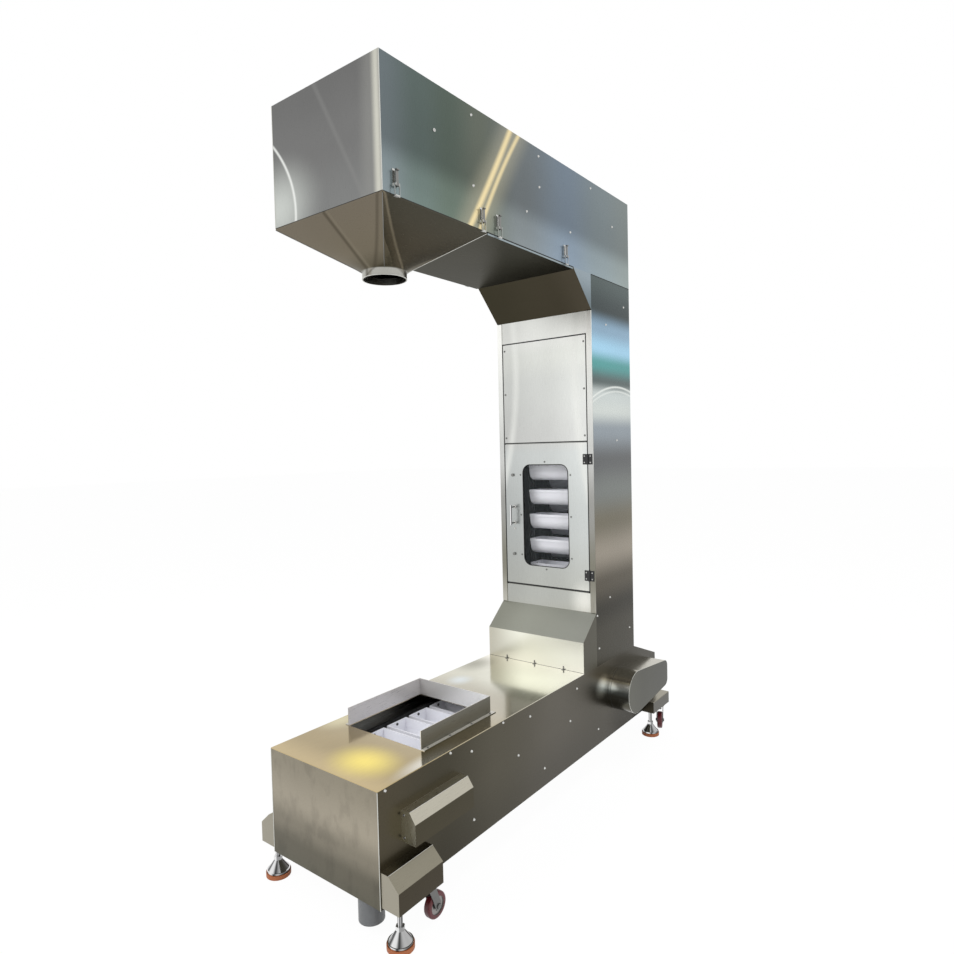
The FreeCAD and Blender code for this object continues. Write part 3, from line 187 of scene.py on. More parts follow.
def noise(nodes, links, point, stretch, scale, detail=3.0):
    """Soft noise of mean one half. stretch squeezes the pattern along each axis."""
    mapping = nodes.new("ShaderNodeMapping")
    mapping.inputs["Scale"].default_value = stretch
    links.new(point, mapping.inputs["Vector"])
    texture = nodes.new("ShaderNodeTexNoise")
    texture.inputs["Scale"].default_value = scale
    texture.inputs["Detail"].default_value = detail
    links.new(mapping.outputs[0], texture.inputs["Vector"])
    return texture.outputs[0]


def line_share(nodes, links, place, line):
    """1 on a bowed line across a sheet, fading to 0 beside it.

    line is (axis, other, level, start, lean, bow, width). The line's place on axis is start at level
    on the other axis, and moves by lean and bow as the other axis leaves that level.
    """
    axis, other, level, start, lean, bow, width = line
    away = value_math(nodes, links, "SUBTRACT", place[other], level)
    turned = value_math(nodes, links, "MULTIPLY_ADD", away, bow, lean)
    centre = value_math(nodes, links, "MULTIPLY_ADD", turned, away, start)
    beside = value_math(nodes, links, "ABSOLUTE", value_math(nodes, links, "SUBTRACT", place[axis], centre))
    return rescaled(nodes, links, beside, 0.0, width, 1.0, 0.0, "SMOOTHSTEP")


def glow_share(nodes, links, point, centre, reach):
    """1 at centre, fading to 0 at reach, which is given along each axis."""
    offset = vector_math(nodes, links, "SUBTRACT", point, centre)
    length = vector_length(nodes, links, vector_math(nodes, links, "DIVIDE", offset, reach))
    return rescaled(nodes, links, length, 0.0, 1.0, 1.0, 0.0, "SMOOTHSTEP")


# Materials

def screen(red, green, blue):
    """The linear colour that shows on screen as these values from 0 to 255."""
    def linear(value):
        share = value / 255
        return share / 12.92 if share <= 0.04045 else ((share + 0.055) / 1.055) ** 2.4
    return tuple(linear(value) for value in (red, green, blue))


def tones(*stops):
    """Stops of a run, each given as the share of the way and the three screen values."""
    return tuple((share, screen(red, green, blue)) for share, red, green, blue in stops)


def greys(*stops):
    """Stops of a run in linear greys."""
    return tuple((share, (grey, grey, grey)) for share, grey in stops)


def run_over(axis, low, high, stops):
    """A run along axis from one corner to another."""
    return (axis, low[axis], high[axis], stops)


def flat(colour):
    """A run of one colour."""
    return (Z, 0.0, 1.0, ((0.0, colour), (1.0, colour)))


GRAIN_UP = (14.0, 14.0, 0.5)
GRAIN_ALONG = (14.0, 0.5, 14.0)
GRAIN_SCALE = 60.0
GRAIN_SHARE = 0.22
ROUGH_SPREAD = 0.16
CLOUD_SCALE = 3.0
CLOUD_DETAIL = 2.0
CLOUD_SHARE = 0.22
BLOT_STRETCH = (1.0, 1.0, 0.6)
BLOT_SCALE = 22.0
BLOT_DETAIL = 6.0
BLOT_RANGE = (0.36, 0.5)
SMUDGE_DEPTH = 0.14
INSIDE_SHADE = 0.16
SKIN = 1.5 * MM


def face_masks(nodes, links):
    """How far a face looks sideways, up and down, each from 0 to 1."""
    normal = split(nodes, links, nodes.new("ShaderNodeTexCoord").outputs["Normal"])
    sideways = value_math(nodes, links, "GREATER_THAN", value_math(nodes, links, "ABSOLUTE", normal[X]), 0.5)
    up = rescaled(nodes, links, normal[Z], 0.3, 0.85)
    down = rescaled(nodes, links, normal[Z], -0.3, -0.85)
    return sideways, up, down


def inside_share(nodes, links, place, low, high):
    """1 inside a casing's outer skin, 0 on it."""
    share = 1.0
    for axis in (X, Y, Z):
        middle = (low[axis] + high[axis]) / 2
        half = (high[axis] - low[axis]) / 2 - SKIN
        away = value_math(nodes, links, "SUBTRACT", place[axis], middle)
        within = value_math(nodes, links, "LESS_THAN", value_math(nodes, links, "ABSOLUTE", away), half)
        share = within if share == 1.0 else value_math(nodes, links, "MULTIPLY", share, within)
    return share


def grey_colour(nodes, links, value):
    node = nodes.new("ShaderNodeCombineColor")
    for socket in node.inputs:
        links.new(value, socket)
    return node.outputs[0]


def sheet_steel(name, side, front, top=None, under=None, fades=(None, None), marks=(), inside=None,
                smudged=False, brush=GRAIN_UP, roughness=0.3, metallic=1.0, edge=1.0):
    """Brushed stainless sheet. Each face direction has its own run of tones: painted reflections of the shop
    round it.

    side and front are runs, top and under single colours, a painted sheen and painted shade; fades darken
    side and front along another run as painted shade.
    marks are (on_side, kind, shape, colour, strength): painted reflections drawn as lines or glows.
    inside is the casing's box, within which its faces are darkened with painted shade. smudged adds finger
    marks in front.
    edge dims the metal where it is seen at a flat angle.
    """
    material, nodes, links, shader = new_material(name)
    point = object_point(nodes)
    place = split(nodes, links, point)
    sideways, up, down = face_masks(nodes, links)
    faces = []
    for run, shade_fade in zip((side, front), fades):
        tone = run_colour(nodes, links, place, run)
        if shade_fade:
            tone = mix_colour(nodes, links, 1.0, tone, run_colour(nodes, links, place, shade_fade), "MULTIPLY")
        faces.append(tone)
    if smudged:
        blots = noise(nodes, links, point, BLOT_STRETCH, BLOT_SCALE, BLOT_DETAIL)
        shade = rescaled(nodes, links, blots, *BLOT_RANGE, 1 - SMUDGE_DEPTH, 1.0)
        faces[1] = mix_colour(nodes, links, 1.0, faces[1], grey_colour(nodes, links, shade), "MULTIPLY")
    tone = mix_colour(nodes, links, sideways, faces[1], faces[0])
    if top:
        tone = mix_colour(nodes, links, up, tone, top)
    if under:
        tone = mix_colour(nodes, links, down, tone, under)
    for on_side, kind, shape, colour, strength in marks:
        if kind == "line":
            share = line_share(nodes, links, place, shape)
        else:
            share = glow_share(nodes, links, point, *shape)
        allowed = sideways if on_side else value_math(nodes, links, "SUBTRACT", 1.0, sideways)
        share = value_math(nodes, links, "MULTIPLY", share, allowed)
        share = value_math(nodes, links, "MULTIPLY", share, strength)
        tone = mix_colour(nodes, links, share, tone, colour)
    grain = noise(nodes, links, point, brush, GRAIN_SCALE)
    cloud = noise(nodes, links, point, (1.0, 1.0, 1.0), CLOUD_SCALE, CLOUD_DETAIL)
    lighter = value_math(nodes, links, "MULTIPLY_ADD", grain, GRAIN_SHARE, 1 - GRAIN_SHARE / 2)
    clouded = value_math(nodes, links, "MULTIPLY_ADD", cloud, CLOUD_SHARE, 1 - CLOUD_SHARE / 2)
    shade = value_math(nodes, links, "MULTIPLY", lighter, clouded)
    # Painted shade on the faces inside the casing.
    if inside:
        hidden = inside_share(nodes, links, place, *inside)
        painted_inside_shade = rescaled(nodes, links, hidden, 0.0, 1.0, 1.0, INSIDE_SHADE)
        shade = value_math(nodes, links, "MULTIPLY", shade, painted_inside_shade)
    tone = mix_colour(nodes, links, 1.0, tone, grey_colour(nodes, links, shade), "MULTIPLY")
    links.new(tone, shader.inputs["Base Color"])
    shader.inputs["Metallic"].default_value = metallic
    shader.inputs["Specular Tint"].default_value = (edge, edge, edge, 1)
    rough = value_math(nodes, links, "MULTIPLY_ADD", grain, ROUGH_SPREAD, roughness - ROUGH_SPREAD / 2)
    links.new(rough, shader.inputs["Roughness"])
    return material


def plain(name, colour, metallic=0.0, roughness=0.5, variation=0.12, scale=40.0):
    """A surface of one colour with slight unevenness."""
    material, nodes, links, shader = new_material(name)
    uneven = noise(nodes, links, object_point(nodes), (1, 1, 1), scale)
    low = tuple(part * (1 - variation) for part in colour)
    high = tuple(min(part * (1 + variation), 1.0) for part in colour)
    links.new(mix_colour(nodes, links, uneven, low, high), shader.inputs["Base Color"])
    shader.inputs["Metallic"].default_value = metallic
    shader.inputs["Roughness"].default_value = roughness
    return material


def two_part(nodes, links, shader, share, first, second):
    """first and second are (colour, metallic, roughness); share chooses the second where it is 1."""
    links.new(mix_colour(nodes, links, share, first[0], second[0]), shader.inputs["Base Color"])
    for socket, low, high in (("Metallic", first[1], second[1]), ("Roughness", first[2], second[2])):
        links.new(value_math(nodes, links, "MULTIPLY_ADD", share, high - low, low), shader.inputs[socket])


ORANGE_RUBBER = ((0.33, 0.10, 0.032), 0.0, 0.55)
MAROON_TREAD = ((0.085, 0.008, 0.011), 0.0, 0.35)
SILVER_HUB = ((0.27, 0.26, 0.25), 1.0, 0.3)
PAD_HEIGHT = 14 * MM
HUB_RADIUS = 27 * MM


def chromed_foot():
    """Chrome above the rubber ring, mirroring dark and bright bands round its axis."""
    material, nodes, links, shader = new_material("chromed_foot")
    height = split(nodes, links, object_point(nodes))[Z]
    normal = split(nodes, links, nodes.new("ShaderNodeTexCoord").outputs["Normal"])
    bands = run_colour(nodes, links, normal, (X, -1.0, 1.0, greys(
        (0.0, 0.05), (0.2, 0.5), (0.36, 0.07), (0.5, 0.8),
        (0.62, 0.75), (0.74, 0.05), (0.88, 0.45), (1.0, 0.12),
    )))
    above = value_math(nodes, links, "GREATER_THAN", height, PAD_HEIGHT + 0.1 * MM)
    two_part(nodes, links, shader, above, ORANGE_RUBBER, (bands, 1.0, 0.14))
    return material


def banded_handle():
    """The door's handle, with painted reflections: dark along its left and bright along its middle."""
    material, nodes, links, shader = new_material("handle_steel")
    normal = split(nodes, links, nodes.new("ShaderNodeTexCoord").outputs["Normal"])
    bands = run_colour(nodes, links, normal, (X, -1.0, 1.0, greys(
        (0.0, 0.03), (0.3, 0.10), (0.42, 0.9), (0.7, 1.0), (0.85, 0.4), (1.0, 0.12),
    )))
    links.new(bands, shader.inputs["Base Color"])
    shader.inputs["Metallic"].default_value = 1.0
    shader.inputs["Roughness"].default_value = 0.2
    return material


def caster_tread(name, centre, axis):
    """Maroon tread round a bright hub, told apart by the distance from the axle's line."""
    material, nodes, links, shader = new_material(name)
    offset = vector_math(nodes, links, "SUBTRACT", object_point(nodes), centre)
    crossed = vector_math(nodes, links, "CROSS_PRODUCT", offset, axis)
    outside = value_math(nodes, links, "GREATER_THAN", vector_length(nodes, links, crossed), HUB_RADIUS)
    two_part(nodes, links, shader, outside, SILVER_HUB, MAROON_TREAD)
    return material


def clear_pane():
    """The window, so clear that little more than its reflections shows."""
    material, nodes, links, shader = new_material("window_pane")
    shader.inputs["Base Color"].default_value = (0.3, 0.34, 0.36, 1)
    shader.inputs["Roughness"].default_value = 0.05
    shader.inputs["Alpha"].default_value = 0.03
    return material


# Painted shade for faces that look down, and painted sheens for faces that look up
UNDER_SHADE = screen(80, 78, 68)
PALE_SHEEN = screen(222, 223, 215)
COOL_SHEEN = screen(160, 172, 176)

# Heights between which the painted reflection tones beside and on the door run
PANEL_FOOT = 0.6
PANEL_TOP = 2.0

# How far in the inlet frame's outer painted shade reaches, and how wide it blends into the inner painted
# light
INLET_WALL = 14.2 * MM
INLET_BLEND = 2.0 * MM


def design(x, y, z):
    """A place given in millimetres from the middle plane, the feed end and the floor."""
    return (MIDDLE + x * MM, BASE_LOW[Y] + y * MM, z * MM)


def side_line(y, z, lean, bow, width):
    """A line on a side plate. It passes y, z, leans and bows as it climbs, and fades over its width."""
    _, along, up = design(0, y, z)
    return (Y, Z, up, along, lean, bow / MM, width * MM)


def front_line(x, z, lean, bow, width):
    """A like line on a plate that faces the feed end."""
    along, _, up = design(x, 0, z)
    return (X, Z, up, along, lean, bow / MM, width * MM)


def level_line(y, z, bow, width):
    """A nearly level line on a side plate, highest or lowest at y, z."""
    _, along, up = design(0, y, z)
    return (Z, Y, along, up, 0.0, bow / MM, width * MM)


def glow(x, y, z, across, along, up):
    """A soft spot at a place in millimetres, with its reach along each axis."""
    return (design(x, y, z), (across * MM, along * MM, up * MM))


def head_steel():
    """The head, with the shop's lamps mirrored in its side and in its nose."""
    side = run_over(Y, HEAD_LOW, HEAD_HIGH, tones(
        (0.0, 138, 150, 154), (0.1, 116, 132, 127), (0.19, 108, 123, 112), (0.29, 124, 132, 119),
        (0.44, 138, 147, 150), (0.65, 141, 159, 176), (0.82, 146, 161, 166), (1.0, 152, 164, 162),
    ))
    # Painted shade: the side darkens upwards.
    shade_fade = run_over(Z, HEAD_LOW, HEAD_HIGH, greys((0.0, 1.0), (0.18, 0.92), (0.42, 0.54), (1.0, 0.6)))
    front = run_over(Z, HEAD_LOW, HEAD_HIGH, tones(
        (0.0, 130, 131, 130), (0.5, 119, 119, 118), (1.0, 111, 111, 110),
    ))
    # Painted reflections of the lamps: gold and pale lines and a pale glow.
    gold_reflection = screen(250, 230, 178)
    marks = (
        (True, "line", side_line(660, 2402, 0.64, 0.0, 130), screen(176, 172, 150), 0.6),
        (True, "line", side_line(643, 2402, 0.61, -0.0001, 24), gold_reflection, 0.9),
        (True, "line", side_line(680, 2402, 0.64, 0.0003, 18), gold_reflection, 0.8),
        (False, "glow", glow(-235, 90, 2225, 250, 60, 190), screen(204, 208, 203), 0.95),
        (False, "line", front_line(-171, 2320, -0.47, -0.0019, 10), screen(240, 242, 238), 0.9),
        (False, "line", front_line(98, 2310, -0.53, 0.0, 16), screen(142, 142, 140), 0.35),
        (False, "line", front_line(205, 2310, 0.03, 0.0, 60), screen(150, 150, 146), 0.5),
        (False, "line", front_line(236, 2310, 0.0, 0.0, 26), screen(212, 211, 199), 0.9),
    )
    return sheet_steel("head_steel", side, front, COOL_SHEEN, UNDER_SHADE, (shade_fade, None), marks,
                       (HEAD_LOW, HEAD_HIGH))


def column_steel():
    """The column, with blue daylight and the lamps mirrored in bands across its side."""
    side = run_over(Z, COLUMN_LOW, COLUMN_HIGH, tones(
        (0.08, 60, 57, 47), (0.14, 44, 41, 31), (0.21, 84, 78, 66), (0.29, 150, 142, 129),
        (0.37, 114, 109, 94), (0.45, 120, 124, 121), (0.53, 100, 102, 103), (0.61, 146, 155, 162),
        (0.66, 208, 214, 210), (0.7, 202, 209, 207), (0.735, 92, 104, 103), (0.78, 88, 160, 158),
        (0.82, 166, 212, 238), (0.87, 140, 171, 194), (0.92, 56, 66, 67), (1.0, 80, 92, 91),
    ))
    front = run_over(Z, COLUMN_LOW, COLUMN_HIGH, tones(
        (0.0, 175, 175, 163), (0.3, 130, 132, 126), (0.6, 170, 171, 167), (1.0, 226, 228, 222),
    ))
    # Painted highlight: two arched lamp reflections on the side.
    arch_highlight = screen(236, 240, 235)
    marks = (
        (True, "line", level_line(1581, 1698, -0.00091, 8), arch_highlight, 0.85),
        (True, "line", level_line(1581, 1678, -0.00091, 7), arch_highlight, 0.6),
    )
    return sheet_steel("column_steel", side, front, PALE_SHEEN, UNDER_SHADE, (None, None), marks,
                       (COLUMN_LOW, COLUMN_HIGH), roughness=0.26)


def panel_steel():
    """Door, cover and the plates above and below them, with painted reflections that brighten upwards, pale
    painted streaks and a painted glow, and painted shade that leaves them brighter towards the right.
    """
    front = (Z, PANEL_FOOT, PANEL_TOP, tones(
        (0.0, 205, 205, 194), (0.12, 203, 205, 199), (0.35, 208, 212, 210), (0.57, 226, 230, 228),
        (0.61, 228, 229, 226), (0.8, 236, 238, 234), (0.89, 246, 248, 242), (0.94, 254, 255, 250),
    ))
    # Painted shade, darker towards the left.
    shade_fade = run_over(X, DOOR_LOW, DOOR_HIGH, greys((0.0, 0.7), (0.5, 0.82), (1.0, 1.0)))
    pale = screen(240, 241, 236)
    marks = (
        (False, "line", front_line(-150, 1700, 0.05, -0.0003, 30), pale, 0.5),
        (False, "line", front_line(165, 1700, -0.03, 0.0002, 34), pale, 0.6),
        (False, "glow", glow(200, 1329, 735, 100, 200, 120), screen(255, 255, 248), 1.0),
    )
    return sheet_steel("panel_steel", front, front, PALE_SHEEN, PALE_SHEEN, (None, shade_fade), marks)


def fold_steel():
    """The column's folds on both sides of the door, with painted reflections that darken downwards."""
    run = (Z, PANEL_FOOT, PANEL_TOP, tones(
        (0.04, 190, 188, 178), (0.2, 138, 136, 124), (0.4, 160, 160, 156),
        (0.57, 206, 207, 204), (0.75, 230, 231, 227), (1.0, 255, 255, 250),
    ))
    return sheet_steel("fold_steel", run, run, PALE_SHEEN, PALE_SHEEN)


def base_steel():
    """The base: warm, dark painted reflections along its sides, paler painted reflections and fingermarks on
    its end.
    """
    side = run_over(Y, BASE_LOW, BASE_HIGH, tones(
        (0.0, 78, 72, 58), (0.14, 68, 64, 52), (0.3, 84, 80, 68), (0.5, 93, 89, 80),
        (0.7, 80, 76, 66), (0.8, 58, 54, 43), (1.0, 70, 67, 58),
    ))
    # Painted shade, darker towards the floor.
    shade_fade = run_over(Z, BASE_LOW, BASE_HIGH, greys((0.0, 0.72), (0.6, 0.95), (1.0, 1.0)))
    front = run_over(Z, BASE_LOW, BASE_HIGH, tones(
        (0.0, 97, 94, 82), (0.18, 101, 97, 85), (0.36, 130, 124, 110),
        (0.6, 162, 154, 138), (1.0, 146, 139, 123),
    ))
    # Painted reflection of the guard on the base's side.
    marks = (
        (True, "glow", glow(250, 1378, 354, 60, 80, 62), screen(222, 220, 210), 1.0),
    )
    return sheet_steel("base_steel", side, front, screen(170, 162, 140), UNDER_SHADE, (shade_fade, None), marks,
                       (BASE_LOW, BASE_HIGH), smudged=True, brush=GRAIN_ALONG)


def lid_steel():
    """The lid, with the golden lamps mirrored at its feed end and before the hood."""
    # Painted reflections: paling towards the hood, with spots of golden, white and darker reflection.
    run = run_over(Y, BASE_LOW, HOOD_LOW, tones(
        (0.0, 196, 176, 134), (0.1, 170, 153, 116), (0.35, 186, 174, 146), (0.6, 190, 184, 168),
        (0.8, 214, 212, 196), (1.0, 252, 248, 236),
    ))
    marks = (
        (False, "glow", glow(80, 110, 460, 165, 130, 60), screen(252, 230, 122), 0.95),
        (False, "glow", glow(110, 1030, 460, 330, 250, 60), screen(255, 255, 242), 1.0),
        (False, "glow", glow(-143, 855, 460, 70, 80, 60), screen(222, 230, 233), 0.8),
        (False, "glow", glow(245, 230, 460, 60, 200, 60), screen(236, 234, 226), 0.8),
        (False, "glow", glow(-237, 283, 460, 90, 120, 60), screen(226, 218, 180), 0.7),
        (False, "glow", glow(-225, 1060, 460, 110, 150, 60), screen(166, 164, 148), 1.0),
    )
    return sheet_steel("lid_steel", run, run, marks=marks, brush=GRAIN_ALONG, roughness=0.13)


def hood_steel():
    """The hood's slope, bright with a painted reflection, between its cheeks, dark with painted shade."""
    front = run_over(X, HOOD_LOW, HOOD_HIGH, tones(
        (0.0, 196, 193, 178), (0.4, 254, 254, 240), (1.0, 255, 255, 248),
    ))
    cheek = screen(84, 82, 72)
    return sheet_steel("hood_steel", flat(cheek), front, screen(126, 128, 118), UNDER_SHADE, brush=GRAIN_ALONG)


def hopper_steel():
    """The hopper, painted dark with the reflection of the shop's dark floor, its creases drawn as lines of
    painted shade and highlight, and its round collar bright with a painted sheen.
    """
    low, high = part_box("discharge_hopper")
    collar = ((0.0, 176, 175, 168), (0.13, 180, 179, 172))
    front = run_over(Z, low, high, tones(
        *collar, (0.16, 98, 92, 77), (0.4, 116, 108, 92), (1.0, 116, 108, 94),
    ))
    side = run_over(Z, low, high, tones(
        *collar, (0.16, 84, 78, 65), (0.4, 79, 73, 61), (1.0, 73, 70, 60),
    ))
    marks = (
        (False, "line", front_line(-6, 2100, 0.0, 0.0, 13), screen(76, 69, 56), 0.7),
        (False, "line", front_line(9, 2100, 0.0, 0.0, 10), screen(128, 120, 103), 0.5),
        (False, "line", front_line(149, 2111, 1.5, 0.0, 12), screen(70, 63, 52), 0.5),
        (True, "line", side_line(240, 2080, -1.83, 0.0, 22), screen(98, 89, 73), 0.5),
        (True, "line", side_line(254, 2080, -1.83, 0.0, 10), screen(146, 136, 116), 0.6),
    )
    return sheet_steel("hopper_steel", side, front, marks=marks, brush=GRAIN_ALONG)


def knee_steel():
    """The sloped casing between the column and the head, with painted reflections: bluish on its sides, dark
    in front.
    """
    low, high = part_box("knee_casing")
    side = run_over(Z, low, high, tones((0.0, 104, 118, 124), (1.0, 150, 164, 172)))
    front = run_over(X, low, high, tones((0.0, 60, 56, 43), (0.7, 66, 61, 49), (1.0, 78, 72, 60)))
    return sheet_steel("knee_steel", side, front, brush=GRAIN_ALONG)


def pan_steel():
    """The pan, seen flat from below, where a plain metal would turn pale towards its edges."""
    # Painted sheen on the sides and top, painted shade in front and underneath.
    return sheet_steel("pan_steel", flat(COOL_SHEEN), flat(UNDER_SHADE), COOL_SHEEN, screen(84, 82, 72),
                       brush=GRAIN_ALONG, edge=0.52)


def takeup_steel():
    """The take-up covers: painted shade on their sides, painted highlights on the slope and end."""
    side, end, slope = screen(70, 65, 51), screen(255, 250, 232), screen(238, 233, 216)
    return sheet_steel("takeup_steel", flat(side), flat(end), slope, UNDER_SHADE, brush=GRAIN_ALONG)


def carrier_steel():
    """The foot carriers, pale at the feed end and shaded by the guard at the rear."""
    def run(front, rear):
        stops = tones((0.0, *front), (0.5, *front), (0.6, *rear), (1.0, *rear))
        return run_over(Y, BASE_LOW, BASE_HIGH, stops)
    side = run((66, 60, 48), (86, 84, 77))
    end = run((158, 153, 139), (54, 50, 41))
    return sheet_steel("carrier_steel", side, end, screen(152, 147, 131), UNDER_SHADE, brush=GRAIN_ALONG)


def guard_steel():
    """The drive guard, with the lamps mirrored along its rounded front."""
    side = run_over(Y, GUARD_LOW, GUARD_HIGH, tones((0.0, 84, 84, 75), (0.4, 72, 72, 64), (1.0, 66, 66, 60)))
    rim = run_over(Z, GUARD_LOW, GUARD_HIGH, tones(
        (0.0, 96, 92, 78), (0.25, 84, 82, 72), (0.45, 104, 104, 98), (0.56, 136, 142, 142),
        (0.66, 214, 220, 220), (0.74, 255, 255, 250), (0.8, 255, 244, 214), (0.83, 110, 82, 60),
        (0.87, 255, 236, 202), (1.0, 190, 182, 166),
    ))
    return sheet_steel("guard_steel", side, rim, screen(176, 172, 158), UNDER_SHADE,
                       brush=GRAIN_ALONG, roughness=0.2)


def inlet_steel():
    """The inlet's walls: painted shade outside, painted light inside, and a painted reflection brightening
    across their front.
    """
    outer, inner = screen(76, 74, 59), screen(202, 199, 198)
    width = INLET_HIGH[X] - INLET_LOW[X]
    wall, blend = INLET_WALL / width, INLET_BLEND / width
    side = run_over(X, INLET_LOW, INLET_HIGH, (
        (0.0, outer), (wall, outer), (wall + blend, inner),
        (1 - wall - blend, inner), (1 - wall, outer), (1.0, outer),
    ))
    front = run_over(X, INLET_LOW, INLET_HIGH, tones((0.0, 186, 184, 182), (1.0, 252, 252, 250)))
    return sheet_steel("inlet_steel", side, front, screen(206, 203, 194), UNDER_SHADE,
                       brush=GRAIN_ALONG, metallic=0.4)


def finish_nodes():
    """Gives every CAD node its finish."""
    polished = plain("polished_steel", (0.60, 0.60, 0.58), 1.0, 0.2)
    # screw_steel is a darker copy of the polished steel: painted shade for the screws, clips, catches and
    # latches that show dark.
    screw = plain("screw_steel", (0.24, 0.24, 0.23), 1.0, 0.3)
    machined = plain("machined_steel", (0.38, 0.39, 0.40), 1.0, 0.35)
    chain = plain("chain_steel", (0.10, 0.10, 0.10), 0.9, 0.36)
    white = plain("white_bucket", (0.79, 0.795, 0.845), 0.0, 0.38, 0.05, 8.0)
    black = plain("black_hinge", (0.012, 0.012, 0.013), 0.0, 0.35)
    zinc = plain("zinc_fork", (0.17, 0.17, 0.165), 1.0, 0.38)
    panel = panel_steel()
    foot = chromed_foot()
    by_node = {
        "base_casing": base_steel(), "base_lid": lid_steel(), "inlet_frame": inlet_steel(),
        "transition_casing": hood_steel(), "column_casing": column_steel(), "knee_casing": knee_steel(),
        "head_casing": head_steel(), "discharge_hopper": hopper_steel(), "head_pan": pan_steel(),
        "column_cover": panel, "access_door": panel, "door_window": clear_pane(),
        "drive_guard": guard_steel(),
        "takeup_covers": takeup_steel(),
        "outriggers": carrier_steel(),
        "hinge_leaves_column": black, "hinge_leaves_door": black,
        "bucket_chains": chain, "drive_chain": chain,
        "drain_tube": plain("grey_tube", (0.12, 0.125, 0.13), 0.0, 0.4),
        "gearmotor": plain("motor_paint", (0.10, 0.15, 0.20), 0.1, 0.4),
        "bearings": plain("bearing_iron", (0.10, 0.11, 0.115), 0.3, 0.45),
        "chain_rails": plain("rail_steel", (0.34, 0.34, 0.33), 1.0, 0.35),
        "caster_plates": zinc, "door_handle": banded_handle(),
    }
    for name, node in NODES.items():
        if name in by_node:
            finish = by_node[name]
        elif name.startswith("caster_wheel"):
            joint = JOINTS[name.replace("caster_wheel", "wheel") + "_spin"]
            finish = caster_tread(name + "_finish", Vector(joint["pos_m"]), Vector(joint["axis"]))
        elif name.startswith("caster_fork"):
            finish = zinc
        elif name.startswith("levelling_foot"):
            finish = foot
        elif "catch" in name or "latches" in name:
            finish = screw
        elif "bucket" in name:
            finish = white
        elif "shaft" in name or "sprocket" in name:
            finish = machined
        else:
            finish = polished
        node.data.materials.clear()
        node.data.materials.append(finish)
    return {
        "polished": polished, "screw": screw, "black": black, "zinc": zinc, "panel": panel,
        "fold": fold_steel(),
    }


FINISH = finish_nodes()


# Shapes

def mesh_piece(name, verts, faces, finish, body, soften=0.0, smooth=False):
    mesh = bpy.data.meshes.new(name)
    mesh.from_pydata(verts, [], faces)
    mesh.materials.append(finish)
    piece = bpy.data.objects.new(name, mesh)
    bpy.context.collection.objects.link(piece)
    if smooth:
        mesh.polygons.foreach_set("use_smooth", [len(p.vertices) == 4 for p in mesh.polygons])
    if soften:
        bevel = piece.modifiers.new("edges", "BEVEL")
        bevel.width = soften
        bevel.segments = 2
    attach(piece, body)
    return piece


def slab_mesh(low, high):
    corners = [(x, y, z) for x in (low[X], high[X]) for y in (low[Y], high[Y]) for z in (low[Z], high[Z])]
    faces = [(0, 1, 3, 2), (4, 6, 7, 5), (0, 4, 5, 1), (2, 3, 7, 6), (0, 2, 6, 4), (1, 5, 7, 3)]
    return corners, faces


def slabs(name, boxes, finish, body, soften=0.4 * MM):
    verts, faces = [], []
    for low, high in boxes:
        corners, sides = slab_mesh(low, high)
        faces += [tuple(index + len(verts) for index in face) for face in sides]
        verts += corners
    return mesh_piece(name, verts, faces, finish, body, soften)


def lathe_mesh(base, axis, profile, count=16):
    """A turned shape. profile is (radius, height) from the base up; both ends are closed."""
    axis = Vector(axis).normalized()
    across = axis.orthogonal().normalized()
    other = axis.cross(across)
    verts, faces = [], []
    for radius, height in profile:
        for index in range(count):
            turn = 2 * math.pi * index / count
            ring = across * math.cos(turn) + other * math.sin(turn)
            verts.append(tuple(base + axis * height + ring * radius))
    for level in range(len(profile) - 1):
        for index in range(count):
            following = (index + 1) % count
            low, high = level * count, (level + 1) * count
            faces.append((low + index, low + following, high + following, high + index))
    faces.append(tuple(reversed(range(count))))
    faces.append(tuple(range(len(verts) - count, len(verts))))
    return verts, faces


def turned_group(name, places, axis, profile, finish, body, count=16):
    verts, faces = [], []
    for place in places:
        points, sides = lathe_mesh(place, axis, profile, count)
        faces += [tuple(index + len(verts) for index in face) for face in sides]
        verts += points
    return mesh_piece(name, verts, faces, finish, body, smooth=True)


def wire(name, points, radius, finish, body, closed=False):
    """A round bead along points."""
    curve = bpy.data.curves.new(name, "CURVE")
    curve.dimensions = "3D"
    curve.bevel_depth = radius
    curve.bevel_resolution = 2
    curve.materials.append(finish)
    spline = curve.splines.new("POLY")
    spline.points.add(len(points) - 1)
    for target, point in zip(spline.points, points):
        target.co = (*point, 1)
    spline.use_cyclic_u = closed
    piece = bpy.data.objects.new(name, curve)
    bpy.context.collection.objects.link(piece)
    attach(piece, body)
    return piece


def screw_profile(radius, height):
    """Pan head with a hollow in its top."""
    return (
        (radius, 0.0), (radius, height * 0.4), (radius * 0.85, height * 0.8), (radius * 0.55, height),
        (radius * 0.5, height * 0.6), (radius * 0.05, height * 0.55),
    )


def arc(across, up, radius, start, end, steps):
    """Points of an arc in a plane, both ends included."""
    turns = [start + (end - start) * index / steps for index in range(steps + 1)]
    return [(across + radius * math.cos(turn), up + radius * math.sin(turn)) for turn in turns]


def screws(name, places, axis, radius, height, finish="screw", body="casing"):
    """Pan heads at places, as one piece."""
    profile = screw_profile(radius, height)
    return turned_group(name, places, axis, profile, FINISH[finish], body)


# Details on the fixed casing

SEAM = plain("seam_black", (0.012, 0.012, 0.012), 0.0, 0.7)
# Bright steel for beads and folds: its brightness is a painted edge highlight.
WELD_HIGHLIGHT = plain("weld_bright", (0.66, 0.66, 0.62), 1.0, 0.3)
BEAD = 1.3 * MM


